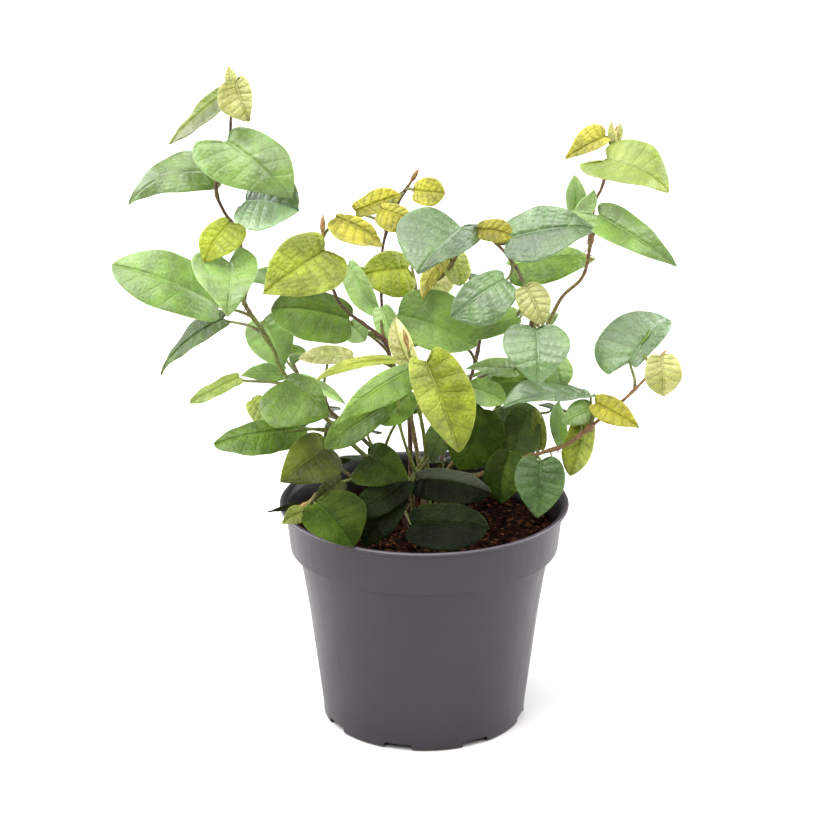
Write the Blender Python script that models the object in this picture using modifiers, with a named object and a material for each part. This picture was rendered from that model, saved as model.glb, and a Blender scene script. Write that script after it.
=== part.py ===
"""A potted creeping fig: a nursery pot, its soil, rooted shoots and their heart-shaped leaves.

Metres, +Z up, +X to the right, -Y towards the front. The origin is the middle of the pot's flat
underside. Every shoot is one solid with its leaf stalks and end bud; every leaf blade is its own.
"""

import math

import bmesh
import bpy
from mathutils import Matrix, Vector

MM = 0.001

# Pot and soil
POT_HEIGHT = 71.0
LIP_RADIUS = 45.0
WALL = 1.2
SOIL_TOP = 62.0
FIT_GAP = 0.35            # left between pieces that touch
POT_STEPS = 48
DRAIN_SLOTS = 8
DRAIN_SLOT = (11.0, 9.0, 3.0)   # radial depth, width, height of a slot's cutter
FIRST_SLOT_ANGLE = -105.0

# Shoots
FOOT_RADIUS = 1.25
UPRIGHT_FOOT = 1.5        # how far a shoot rises straight out of the soil
TIP_RADIUS = 0.6
STALK_RADIUS = 0.55
STALK_GAP = 0.5           # from a stalk's end to the sloping underside of its blade
BUD = ((1.5, 0.85), (3.5, 0.75), (5.5, 0.15))   # distance past the shoot's end, radius
SAMPLES_PER_SPAN = 3
STALK_SAMPLES = 5

# Leaf blades
BLADE_THICKNESS = 0.5
HALF_OUTLINE = (          # share of the half width, share of the length; from notch to tip
    (0.00, 0.00), (0.30, -0.12), (0.72, -0.09), (0.97, 0.10),
    (0.97, 0.36), (0.74, 0.64), (0.38, 0.86), (0.12, 0.965), (0.00, 1.00),
)
NOTCH_SHARE = 1 / 8       # part of the outline that lies inside the notch
VEIN_LEAN = 1.6           # how far the side veins lean towards the tip
BLADE_COLUMNS = 4
BLADE_ROWS = 5

COLOURS = {
    "plastic": (0.10, 0.085, 0.095), "soil": (0.025, 0.014, 0.009), "bark": (0.16, 0.09, 0.035),
    "young": (0.50, 0.52, 0.06), "fresh": (0.22, 0.42, 0.08), "grown": (0.12, 0.27, 0.14),
    "old": (0.045, 0.13, 0.03),
}

# Each shoot is a list of routes: the first rises from the soil, any other branches off it.
SHOOTS = {
    "shoot_tall_left": [[
        (-6, 6, 62.3), (-9, 5, 74), (-24, 3, 90), (-42, 0, 111), (-46, 0, 120), (-50, 0, 127),
        (-55, -1, 137), (-55, 0, 150), (-56, 1, 157), (-60, 1, 163), (-62, 0, 171),
        (-58, 0, 184), (-57, -2, 192), (-57, -1, 201)]],
    "shoot_middle_left": [
        [(-3, -3, 62.3), (-4, -3, 78), (-5, -6, 104), (-9, -11, 123), (-23, -13, 136),
         (-27, -14, 143), (-30, -14, 154), (-30, -13, 160)],
        [(-5, -6, 104), (-12, 6, 122), (-13, 20, 145), (-8, 18, 161), (-4, 14, 169)]],
    "shoot_arching": [[
        (0, 3, 62.3), (-1, 6, 77), (-5, 11, 102), (-3, 11, 125), (-1, 8, 135), (7, 4, 144),
        (11, 2, 151), (16, 0, 157), (22, 0, 153), (28, 1, 145), (31, 0, 138), (33, -6, 133)]],
    "shoot_tall_right": [[
        (5, 8, 62.3), (6, 9, 75), (24, 14, 98), (37, 10, 123), (42, 8, 134), (48, 6, 141),
        (50, 5, 150), (51, 4, 164), (53, 2, 170), (55, 0, 179), (56, 0, 184)]],
    "shoot_low_right": [[
        (8, -3, 62.3), (10, -4, 76), (23, -6, 84), (36, -7, 89), (44, -7, 92), (52, -8, 99),
        (60, -8, 106), (63, -8, 109), (67, -7, 113), (70, -6, 117)]],
    "shoot_centre_front": [[
        (2, -5, 62.3), (1, -3, 80), (0, -5, 93), (-2, -14, 108), (-3, -23, 119), (-5, -25, 129)]],
    "shoot_low_front": [[
        (-5, -7, 62.3), (-8, -9, 74), (-17, -15, 83), (-27, -21, 84), (-35, -26, 80)]],
    "shoot_back_left": [[
        (-8, 14, 62.3), (-11, 18, 74), (-21, 24, 84), (-36, 31, 95), (-43, 35, 109),
        (-41, 38, 124), (-39, 40, 134)]],
    "shoot_back_right": [[
        (4, 15, 62.3), (5, 20, 74), (9, 28, 86), (15, 36, 99), (18, 40, 114), (15, 43, 129),
        (10, 44, 140)]],
}

# Each leaf: where its blade meets the stalk, where its tip is, its width, the way its upper side
# faces (degrees round from the front, degrees down from the vertical), fold, bow, and its age.
LEAVES = {
    "shoot_tall_left": [
        ((-56, -5, 202), (-51, -10, 193), 12, (10, 70), 20, 1.0, "young"),
        ((-61, 4, 196), (-76, 5, 183), 15, (-30, 50), 12, 1.5, "fresh"),
        ((-57, -6, 184), (-39, -14, 172), 22, (0, 62), 8, 2.0, "fresh"),
        ((-67, 6, 176), (-89, 4, 165), 21, (0, 34), -8, 2.0, "fresh"),
        ((-53, 2, 163), (-37, -10, 164), 19, (0, 52), 14, 1.0, "grown"),
        ((-59, -7, 159), (-66, -12, 151), 14, (0, 60), 15, 1.0, "young"),
        ((-67, 4, 138), (-94, 0, 147), 21, (0, 50), 10, 2.0, "fresh"),
        ((-55, -7, 148), (-58, -22, 138), 24, (0, 45), 20, 1.0, "fresh"),
        ((-62, 12, 126), (-83, 14, 108), 18, (-20, 26), 10, 2.0, "grown"),
        ((-57, 6, 109), (-72, 0, 103), 15, (0, 22), 10, 1.0, "young"),
        ((-42, -8, 113), (-29, -22, 107), 22, (0, 50), 8, 2.0, "grown"),
        ((-43, -6, 96), (-64, -10, 94), 18, (0, 40), 8, 2.0, "grown"),
    ],
    "shoot_middle_left": [
        ((-29, -22, 157), (-47, -28, 146), 22, (0, 60), 12, 1.5, "young"),
        ((-26, -10, 164), (-12, -13, 157), 14, (0, 20), 20, 1.0, "young"),
        ((-22, 5, 162), (-9, 7, 168), 14, (0, 40), 10, 1.0, "young"),
        ((-13, -4, 165), (-3, -7, 162), 12, (0, 50), 10, 1.0, "young"),
        ((-23, 2, 129), (-46, -2, 134), 20, (0, 50), 10, 2.0, "grown"),
    ],
    "shoot_arching": [
        ((11, -6, 160), (-2, -22, 151), 27, (0, 42), 8, 2.0, "grown"),
        ((-5, 12, 142), (-21, 9, 140), 18, (0, 60), 10, 2.0, "young"),
        ((26, -6, 157), (52, -10, 160), 21, (0, 45), 8, 2.0, "grown"),
        ((31, 15, 144), (53, 19, 144), 17, (0, 15), 10, 2.0, "old"),
        ((24, -10, 145), (8, -15, 135), 19, (10, 52), 8, 2.0, "grown"),
        ((30, -14, 144), (35, -20, 134), 10, (0, 70), 10, 1.0, "young"),
        ((33, -18, 132), (33, -28, 118), 21, (0, 68), 8, 2.0, "grown"),
        ((-8, 0, 131), (16, -4, 120), 22, (0, 60), 8, 2.0, "grown"),
    ],
    "shoot_tall_right": [
        ((51, -2, 189), (40, -5, 184), 12, (0, 55), 14, 1.0, "young"),
        ((54, -7, 179), (72, -12, 173), 20, (0, 45), 8, 2.0, "young"),
        ((52, -4, 162), (75, -12, 150), 18, (10, 55), 20, 2.0, "fresh"),
        ((34, 4, 88), (17, 8, 95), 20, (0, 60), 8, 2.0, "old"),
    ],
    "shoot_low_right": [
        ((63, 0, 116), (76, 14, 126), 24, (0, 50), 8, 2.0, "grown"),
        ((69, -8, 118), (73, -12, 109), 13, (0, 60), 14, 1.0, "young"),
        ((51, -2, 106), (24, -16, 108), 20, (0, 6), 6, 1.0, "grown"),
        ((35, -20, 91), (34, -26, 75), 18, (0, 70), 8, 1.0, "old"),
    ],
    "shoot_centre_front": [
        ((4, -32, 129), (10, -38, 100), 18, (0, 72), 10, 2.0, "young"),
        ((-8, -27, 122), (-27, -34, 108), 16, (0, 45), 8, 2.0, "grown"),
    ],
    "shoot_low_front": [
        ((-30, -15, 94), (-43, -26, 87), 20, (0, 60), 8, 2.0, "old"),
        ((-17, -15, 93), (-5, -26, 88), 20, (0, 55), 8, 2.0, "grown"),
        ((-32, -32, 82), (-21, -41, 72), 16, (0, 45), 8, 2.0, "old"),
        ((-2, -14, 83), (20, -22, 82), 17, (0, 50), 8, 2.0, "old"),
        ((-4, -28, 75), (19, -33, 75), 18, (0, 50), 8, 2.0, "old"),
    ],
    "shoot_back_left": [
        ((-38, 44, 121), (-29, 60, 109), 19, (180, 45), 8, 2.0, "fresh"),
        ((-45, 40, 107), (-53, 58, 103), 18, (180, 40), 8, 2.0, "grown"),
        ((-40, 46, 133), (-46, 64, 122), 19, (180, 50), 8, 2.0, "young"),
        ((-35, 34, 90), (-41, 54, 77), 20, (180, 45), 8, 2.0, "old"),
    ],
    "shoot_back_right": [
        ((19, 46, 116), (25, 64, 109), 20, (180, 40), 8, 2.0, "fresh"),
        ((12, 50, 130), (2, 66, 124), 20, (180, 50), 8, 2.0, "grown"),
        ((12, 38, 91), (5, 58, 78), 20, (180, 50), 8, 2.0, "old"),
        ((20, 43, 99), (34, 60, 90), 20, (180, 45), 8, 2.0, "grown"),
        ((10, 48, 141), (17, 62, 138), 16, (180, 40), 8, 2.0, "young"),
    ],
}


def collection(name):
    made = bpy.data.collections.new(name)
    bpy.context.scene.collection.children.link(made)
    return made


def material(kind):
    found = bpy.data.materials.get(kind)
    if found:
        return found
    made = bpy.data.materials.new(kind)
    made.use_nodes = True
    shader = made.node_tree.nodes["Principled BSDF"]
    shader.inputs["Base Color"].default_value = (*COLOURS[kind], 1.0)
    shader.inputs["Roughness"].default_value = 0.9 if kind == "soil" else 0.45
    return made


def new_object(name, mesh, group, kind=None):
    made = bpy.data.objects.new(name, mesh)
    group.objects.link(made)
    if kind:
        mesh.materials.append(material(kind))
    return made


def as_cutter(tool):
    tool.hide_render = True
    tool.display_type = "WIRE"


def add_boolean(target, tool, operation):
    modifier = target.modifiers.new(operation.title(), "BOOLEAN")
    modifier.operation = operation
    modifier.object = tool
    modifier.solver = "EXACT"


def turned(name, profile, group, kind):
    """A solid turned round Z from (radius, height) points that run down the outer side."""
    mesh = bpy.data.meshes.new(name)
    points = [(radius * MM, 0.0, height * MM) for radius, height in profile]
    mesh.from_pydata(points, [(i, i + 1) for i in range(len(points) - 1)], [])
    made = new_object(name, mesh, group, kind)
    screw = made.modifiers.new("Screw", "SCREW")
    screw.axis = "Z"
    screw.angle = math.tau
    screw.steps = screw.render_steps = POT_STEPS
    screw.use_merge_vertices = True
    screw.merge_threshold = 0.00001
    return made


def make_pot(group, cutters):
    top = POT_HEIGHT
    lip = LIP_RADIUS
    outside = [
        (lip - 1.6, top), (lip - 0.4, top), (lip, top - 0.5), (lip, top - 1.1),
        (lip - 0.5, top - 1.5), (lip - 1.8, top - 1.7), (41.7, 55.6), (41.2, 54.6),
        (37.9, 48.2), (37.6, 47.0), (31.7, 1.0), (30.9, 0.0), (0.0, 0.0),
    ]
    inside = [
        (0.0, WALL), (30.9 - WALL, WALL), (31.7 - WALL, 2.2), (37.6 - WALL, 47.4),
        (37.9 - WALL, 48.8), (41.2 - WALL, 55.2), (41.7 - WALL, 56.2), (lip - 3.0, top - 0.8),
    ]
    pot = turned("pot", inside + outside, group, "plastic")
    depth, width, height = DRAIN_SLOT
    for number in range(DRAIN_SLOTS):
        angle = math.radians(FIRST_SLOT_ANGLE + number * 360 / DRAIN_SLOTS)
        mesh = bpy.data.meshes.new("drain_slot")
        bm = bmesh.new()
        bmesh.ops.create_cube(bm, size=1.0)
        bmesh.ops.scale(bm, vec=(depth * MM, width * MM, height * 2 * MM), verts=bm.verts)
        bm.to_mesh(mesh)
        bm.free()
        slot = new_object(f"drain_slot_{number + 1}", mesh, cutters)
        slot.location = Vector((math.cos(angle), math.sin(angle), 0)) * 31.0 * MM
        slot.location.z = -1.0 * MM
        slot.rotation_euler.z = angle
        as_cutter(slot)
        add_boolean(pot, slot, "DIFFERENCE")
    return pot


def make_soil(group):
    """Fills the pot to its step and lies against the wall, a fit gap inside it."""
    gap = FIT_GAP
    wall = WALL + gap
    profile = [
        (0.0, SOIL_TOP), (30.0, SOIL_TOP), (37.0, SOIL_TOP - 0.8), (42.0 - wall, SOIL_TOP - 1.6),
        (41.7 - wall, 56.3), (41.2 - wall, 55.4), (37.9 - wall, 49.0), (37.6 - wall, 47.5),
        (31.7 - wall, 2.4), (30.9 - wall, WALL + gap), (0.0, WALL + gap),
    ]
    return turned("soil", profile, group, "soil")


def smooth_path(points, samples):
    """Points on the Catmull-Rom curve through the given ones."""
    ends = [points[0] * 2 - points[1], *points, points[-1] * 2 - points[-2]]
    path = []
    for i in range(1, len(ends) - 2):
        before, start, end, after = ends[i - 1:i + 3]
        for step in range(samples):
            t = step / samples
            path.append(0.5 * (2 * start + (end - before) * t
                               + (2 * before - 5 * start + 4 * end - after) * t ** 2
                               + (3 * start - before - 3 * end + after) * t ** 3))
    return path + [points[-1]]


def bezier(a, b, c, d, samples):
    path = []
    for step in range(samples):
        t = step / (samples - 1)
        path.append(a * (1 - t) ** 3 + b * 3 * t * (1 - t) ** 2 + c * 3 * t * t * (1 - t) + d * t ** 3)
    return path


def tube(name, path, radii, group, kind=None):
    """A round, capped tube along points in millimetres, as a closed mesh object."""
    curve = bpy.data.curves.new(name, "CURVE")
    curve.dimensions = "3D"
    curve.bevel_depth = MM
    curve.bevel_resolution = 1
    curve.use_fill_caps = True
    spline = curve.splines.new("POLY")
    spline.points.add(len(path) - 1)
    for point, place, radius in zip(spline.points, path, radii):
        point.co = (*(place * MM), 1.0)
        point.radius = radius
    guide = bpy.data.objects.new(name + "_guide", curve)
    group.objects.link(guide)
    seen = guide.evaluated_get(bpy.context.evaluated_depsgraph_get())
    mesh = bpy.data.meshes.new_from_object(seen)
    bpy.data.objects.remove(guide)
    bm = bmesh.new()
    bm.from_mesh(mesh)
    bmesh.ops.remove_doubles(bm, verts=bm.verts, dist=0.00001)
    bmesh.ops.recalc_face_normals(bm, faces=bm.faces)
    bm.to_mesh(mesh)
    bm.free()
    mesh.materials.clear()
    mesh.shade_smooth()
    return new_object(name, mesh, group, kind)


def with_bud(path, radii):
    """Lengthens a route by the pointed bud that ends a growing shoot."""
    ahead = (path[-1] - path[-2]).normalized()
    end = path[-1]
    return (path + [end + ahead * distance for distance, _ in BUD],
            radii + [radius for _, radius in BUD])


def tapered(path, first, last):
    count = len(path) - 1
    return [first + (last - first) * (i / count) ** 0.8 for i in range(count + 1)]


def blade_axes(base, tip, facing):
    """Side, length and face directions of a blade, and its length."""
    along = tip - base
    length = along.length
    along = along.normalized()
    turn, lean = (math.radians(angle) for angle in facing)
    up = Vector((math.sin(turn) * math.sin(lean), -math.cos(turn) * math.sin(lean), math.cos(lean)))
    up = (up - along * up.dot(along)).normalized()
    return along.cross(up), along, up, length


def outline_point(share):
    """A point on the half outline: its share runs from the notch (0) to the tip (1)."""
    points = [Vector(point) for point in HALF_OUTLINE]
    last = len(points) - 1
    place = min(max(share, 0.0), 1.0) * last
    index = min(int(place), last - 1)
    t = place - index
    start, end = points[index], points[index + 1]
    before = points[index - 1] if index > 0 else start * 2 - end
    after = points[index + 2] if index + 2 <= last else Vector((-start.x, start.y))
    return 0.5 * (2 * start + (end - before) * t + (2 * before - 5 * start + 4 * end - after) * t ** 2
                  + (3 * start - before - 3 * end + after) * t ** 3)


def blade_point(across, forward, length, width, fold, bow):
    """Where a blade lies: across from -1 to 1 along a side vein, forward from notch to tip."""
    edge = outline_point(NOTCH_SHARE + (1 - NOTCH_SHARE) * forward)
    reach = abs(across)
    x = edge.x * across * width / 2
    y = (forward ** VEIN_LEAN * (1 - reach) + edge.y * reach) * length
    rise = math.tan(math.radians(fold)) * abs(x) * (1 - 0.25 * reach)
    arch = bow * 4 * (y / length) * (1 - y / length)
    return Vector((x, y, rise + arch)) * MM


def make_blade(name, leaf, group):
    base, tip, width, facing, fold, bow, age = leaf
    side, along, up, length = blade_axes(Vector(base), Vector(tip), facing)
    bm = bmesh.new()
    bmesh.ops.create_grid(bm, x_segments=BLADE_COLUMNS, y_segments=BLADE_ROWS, size=1.0)
    for vertex in bm.verts:
        across, forward = vertex.co.x, (vertex.co.y + 1) / 2
        vertex.co = blade_point(across, forward, length, width, fold, bow)
    bmesh.ops.remove_doubles(bm, verts=bm.verts, dist=0.00001)
    mesh = bpy.data.meshes.new(name)
    bm.to_mesh(mesh)
    bm.free()
    blade = new_object(name, mesh, group, age)
    turn = Matrix((side, along, up)).transposed().to_4x4()
    blade.matrix_world = Matrix.Translation(Vector(base) * MM) @ turn
    thickness = blade.modifiers.new("Thickness", "SOLIDIFY")
    thickness.thickness = BLADE_THICKNESS * MM
    thickness.offset = 0.0
    mesh.shade_smooth()
    return blade


def stalk_route(leaf, routes):
    """From the shoot's nearest point, a little lower down, to just under the blade's base."""
    base, tip, _, facing, _, _, _ = leaf
    _, along, up, _ = blade_axes(Vector(base), Vector(tip), facing)
    seat = Vector(base) - up * (BLADE_THICKNESS / 2 + STALK_GAP)
    aim = seat - up * 4 - along * 2
    route, index = min(
        ((route, i) for route in routes for i in range(4, len(route))),
        key=lambda pick: (pick[0][pick[1]] - aim).length)
    root = route[index - 1]
    stem = (route[index] - route[index - 1]).normalized()
    reach = (seat - root).length
    leave = root + (stem + (seat - root).normalized()).normalized() * reach * 0.4
    return bezier(root, leave, seat - up * min(3.0, reach * 0.4), seat, STALK_SAMPLES)


def make_shoot(name, group, cutters):
    routes = []
    for route in SHOOTS[name]:
        points = [Vector(point) for point in route]
        routes.append(smooth_path(points, SAMPLES_PER_SPAN))
    routes[0].insert(1, routes[0][0] + Vector((0, 0, UPRIGHT_FOOT)))
    path, radii = with_bud(routes[0], tapered(routes[0], FOOT_RADIUS, TIP_RADIUS))
    shoot = tube(name, path, radii, group, "bark")
    pieces = []
    for route in routes[1:]:
        pieces.append(with_bud(route, tapered(route, 0.8, TIP_RADIUS)))
    for leaf in LEAVES[name]:
        route = stalk_route(leaf, routes)
        pieces.append((route, tapered(route, STALK_RADIUS * 1.2, STALK_RADIUS)))
    for number, (route, sizes) in enumerate(pieces, 1):
        piece = tube(f"{name}_part_{number}", route, sizes, cutters)
        as_cutter(piece)
        add_boolean(shoot, piece, "UNION")
    return shoot


for old in list(bpy.data.objects):
    bpy.data.objects.remove(old)

plant = collection("potted_creeping_fig")
tools = collection("cutters")
make_pot(plant, tools)
make_soil(plant)
for shoot_name, leaves in LEAVES.items():
    make_shoot(shoot_name, plant, tools)
    for leaf_number, leaf_plan in enumerate(leaves, 1):
        make_blade(f"{shoot_name.replace('shoot', 'leaf')}_{leaf_number:02d}", leaf_plan, plant)
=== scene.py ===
"""Looks of the potted creeping fig: glossy quilted leaves on woody shoots, peat, a moulded pot.

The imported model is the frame. Each leaf is rebuilt finely where its solid lies, the shoots are
redrawn along their routes, and young side leaves too small for solids of their own are added.
Millimetres are used for sizes here, and MM turns them to metres.
"""

import math
import random

import bpy
import numpy as np
from mathutils import Matrix, Vector, noise


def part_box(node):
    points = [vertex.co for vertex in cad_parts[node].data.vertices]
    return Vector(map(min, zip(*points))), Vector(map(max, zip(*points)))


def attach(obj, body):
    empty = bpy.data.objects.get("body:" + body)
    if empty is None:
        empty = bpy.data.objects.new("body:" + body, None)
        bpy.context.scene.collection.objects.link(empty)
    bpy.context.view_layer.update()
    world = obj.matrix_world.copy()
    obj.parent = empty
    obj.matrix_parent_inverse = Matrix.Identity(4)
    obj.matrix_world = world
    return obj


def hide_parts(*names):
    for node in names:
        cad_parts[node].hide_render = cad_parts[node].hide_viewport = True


MM = 0.001
BODY = "root"

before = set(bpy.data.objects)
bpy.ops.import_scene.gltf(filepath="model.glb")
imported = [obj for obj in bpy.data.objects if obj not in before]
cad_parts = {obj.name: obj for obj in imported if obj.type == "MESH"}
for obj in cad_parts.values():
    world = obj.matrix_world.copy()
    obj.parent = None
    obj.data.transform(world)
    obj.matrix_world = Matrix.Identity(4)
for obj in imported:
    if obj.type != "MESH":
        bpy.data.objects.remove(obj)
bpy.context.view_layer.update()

# ---------------------------------------------------------------- camera, floor and light

CAMERA_PLACE = (-0.0013, -0.726, 0.350)
CAMERA_DIP = 19.2             # degrees below the horizon
CAMERA_LENS = 107.1
CAMERA_SENSOR = 36.0
FLOOR_SIDE = 9.0
FLOOR_GAP = 0.00005
LIGHTS = {     # name: degrees round from the front, degrees up, strength, spread in degrees, colour
    "overhead_softbox": (-16.0, 66.0, 4.6, 78.0, "#fffefb"),
    "overhead_lamp": (-38.0, 58.0, 0.9, 14.0, "#fffefb"),
    "left_softbox": (-106.0, 22.0, 4.3, 60.0, "#fbfaff"),
    "right_softbox": (106.0, 22.0, 4.0, 60.0, "#fbfaff"),
    "back_softbox": (180.0, 50.0, 1.2, 30.0, "#ffffff"),
}
SKY = ("#ffffff", 0.2)         # colour, strength

# ---------------------------------------------------------------- pot and soil, millimetres

POT_SIDES = 192
WALL = 1.2                       # thickness of the pot's wall
CLOSED = 0.001                   # radius of a ring that closes the middle of a round piece
EDGE_ANGLE = 32                  # degrees between faces above which the pot's edge stays sharp
DRAIN_SLOTS = 8
DRAIN_SLOT = (11.0, 9.0, 2.0)    # radial depth, width, height
DRAIN_RADIUS = 31.0
FIRST_SLOT_ANGLE = -105.0
SOIL_SIDES = 150
SOIL_RINGS = 44
SETTLE_WIDTH = 9.0               # the soil sinks this close to the wall, by up to the depth
SETTLE_DEPTH = 1.2
CRUMBS = 900
FIBRES = 90

# ---------------------------------------------------------------- shoots, millimetres

FOOT_RADIUS = 1.05
TIP_RADIUS = 0.42
FORK_RADIUS = 0.6
TAPER = 0.42                     # below 1 a shoot thins quickly near the soil
STALK_RADIUS = 0.42
STALK_SEAT = 0.3                 # how far under the joint a stalk ends
STALK_POINTS = 14
STALK_AIM = (4.75, 2)            # a stalk heads for the shoot this far under and behind a joint
ROUTE_POINTS = 9                 # points on the curve between two given ones
ROOT_DEPTH = 5.0                 # how far a shoot goes down into the soil
UPRIGHT_FOOT = 1.5               # how far a shoot rises straight at the soil
BUD = ((1.5, 0.85), (3.5, 0.75), (5.5, 0.15))   # distance past the end, radius
SHOOTS = {
    "shoot_tall_left": [[
        (-6, 6, 62.3), (-9, 5, 74), (-24, 3, 90), (-42, 0, 111), (-46, 0, 120), (-50, 0, 127),
        (-55, -1, 137), (-55, 0, 150), (-56, 1, 157), (-60, 1, 163), (-62, 0, 171),
        (-58, 0, 184), (-57, -2, 192), (-57, -1, 201)]],
    "shoot_middle_left": [
        [(-3, -3, 62.3), (-4, -3, 78), (-5, -6, 104), (-9, -11, 123), (-23, -13, 136),
         (-27, -14, 143), (-30, -14, 154), (-30, -13, 160)],
        [(-5, -6, 104), (-12, 6, 122), (-13, 20, 145), (-8, 18, 161), (-4, 14, 169)]],
    "shoot_arching": [[
        (0, 3, 62.3), (-1, 6, 77), (-5, 11, 102), (-3, 11, 125), (-1, 8, 135), (7, 4, 144),
        (11, 2, 151), (16, 0, 157), (22, 0, 153), (28, 1, 145), (31, 0, 138), (33, -6, 133)]],
    "shoot_tall_right": [[
        (5, 8, 62.3), (6, 9, 75), (24, 14, 98), (37, 10, 123), (42, 8, 134), (48, 6, 141),
        (50, 5, 150), (51, 4, 164), (53, 2, 170), (55, 0, 179), (56, 0, 184)]],
    "shoot_low_right": [[
        (8, -3, 62.3), (10, -4, 76), (23, -6, 84), (36, -7, 89), (44, -7, 92), (52, -8, 99),
        (60, -8, 106), (63, -8, 109), (67, -7, 113), (70, -6, 117)]],
    "shoot_centre_front": [[
        (2, -5, 62.3), (1, -3, 80), (0, -5, 93), (-2, -14, 108), (-3, -23, 119), (-5, -25, 129)],
        [(2, -4, 70), (-2, -9, 82), (-6, -14, 95), (-8, -18, 106), (-7, -22, 114)]],
    "shoot_low_front": [[
        (-5, -7, 62.3), (-8, -9, 74), (-17, -15, 83), (-27, -21, 84), (-35, -26, 80)]],
    "shoot_back_left": [[
        (-8, 14, 62.3), (-11, 18, 74), (-21, 24, 84), (-36, 31, 95), (-43, 35, 109),
        (-41, 38, 124), (-39, 40, 134)]],
    "shoot_back_right": [[
        (4, 15, 62.3), (5, 20, 74), (9, 28, 86), (15, 36, 99), (18, 40, 114), (15, 43, 129),
        (10, 44, 140)]],
}
SHOOT_GREEN = {        # how green the skin still is, at even steps from the soil to the tip
    "shoot_tall_left": (0.5, 0.75, 0.7, 0.35, 0.1, 0.25),
    "shoot_middle_left": (0.5, 0.3, 0.1, 0.05, 0.1, 0.3),
    "shoot_arching": (0.3, 0.5, 0.55, 0.4, 0.5, 0.6),
    "shoot_tall_right": (0.3, 0.45, 0.55, 0.3, 0.2, 0.4),
    "shoot_low_right": (0.4, 0.35, 0.25, 0.1, 0.15, 0.2),
    "shoot_centre_front": (0.9, 0.9, 0.95, 1.0, 1.0, 1.0),
    "shoot_low_front": (0.3, 0.3, 0.4, 0.5, 0.6, 0.6),
    "shoot_back_left": (0.3, 0.4, 0.3, 0.3, 0.4, 0.5),
    "shoot_back_right": (0.3, 0.4, 0.3, 0.3, 0.4, 0.5),
}
# How much dry tan skin the woodiest shoots carry, where any.
SHOOT_TAN = {"shoot_low_right": 0.45, "shoot_tall_right": 0.35, "shoot_arching": 0.2}
BUD_TAN = 0.85                   # the dry scales round a bud
BRACT = (3.0, 1.1, 0.5)          # length, width, thickness of a dry bract at a joint
ROOTLETS = {     # shoot: how far along it each tuft of air roots is, as shares of its length
    "shoot_low_right": (0.42, 0.55), "shoot_tall_right": (0.28, 0.62, 0.9),
    "shoot_arching": (0.62,), "shoot_tall_left": (0.45,), "shoot_back_right": (0.5,),
}
ROOTLETS_IN_TUFT = 8
ROOTLET_RADII = (0.2, 0.18, 0.16, 0.14, 0.12, 0.1, 0.06)

# ---------------------------------------------------------------- leaves, millimetres

BLADE_GRID = (40, 50)            # columns and rows of a blade that has its own solid
SMALL_BLADE_GRID = (26, 32)
BLADE_THICKNESS = 0.3
VEIN_LEAN = 1.6                  # above 1 the side veins sweep towards the tip
SIDE_VEINS = 7                   # pairs, counted from the notch to the tip
CROSS_VEINS = 5.0                # swellings from the midrib to the margin
CREASE = 0.6                     # half width of the soft crease along the midrib
PAINTED_SHEEN = (0.045, 0.045, 0.042)    # painted grey sheen that a tone of 2 lays over the colour of a half
WIDEST = 0.989                   # how much of its full width the simple solid reaches
LOBE_PLACE = 0.42                # where the base lobe turns forward, as a share of the half width
NOTCH_SHARE = 0.08
BLUNT = 0.2                      # how far every tip is rounded off, against its own taper
OUTLINES = {     # how far the base lobe reaches back, where the half is widest, taper to the tip
    "heart": (0.10, 0.30, 1.0),
    "broad": (0.16, 0.16, 1.1),
    "eared": (0.30, 0.14, 1.25),
    "lobed": (0.36, 0.16, 0.9),
    "round": (0.12, 0.42, 0.8),
    "pointed": (0.07, 0.26, 1.35),
    "long": (0.05, 0.25, 1.7),
    "oval": (0.03, 0.45, 0.8),
    "full": (0.05, 0.52, 0.75),
    "blunt": (0.05, 0.56, 0.55),
    "kidney": (0.30, -0.05, 0.6),
}

# Finish of a leaf of each age, where the table below names no other.
AGE_FINISH = {
    "leaf_young": "lime_leaf", "leaf_fresh": "fresh_leaf",
    "leaf_grown": "blue_green_leaf", "leaf_old": "shaded_leaf",
}

# CAD material slot that matches a leaf of each finish.
FINISH_SLOT = {
    "golden_leaf": "leaf_young", "olive_gold_leaf": "leaf_young", "cream_leaf": "leaf_young",
    "lime_leaf": "leaf_young", "pale_lime_leaf": "leaf_young", "fresh_leaf": "leaf_fresh",
    "blue_green_leaf": "leaf_grown", "mid_green_leaf": "leaf_grown", "olive_leaf": "leaf_old",
    "deep_green_leaf": "leaf_old", "shaded_leaf": "leaf_old", "deep_shade_leaf": "leaf_old",
}
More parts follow.
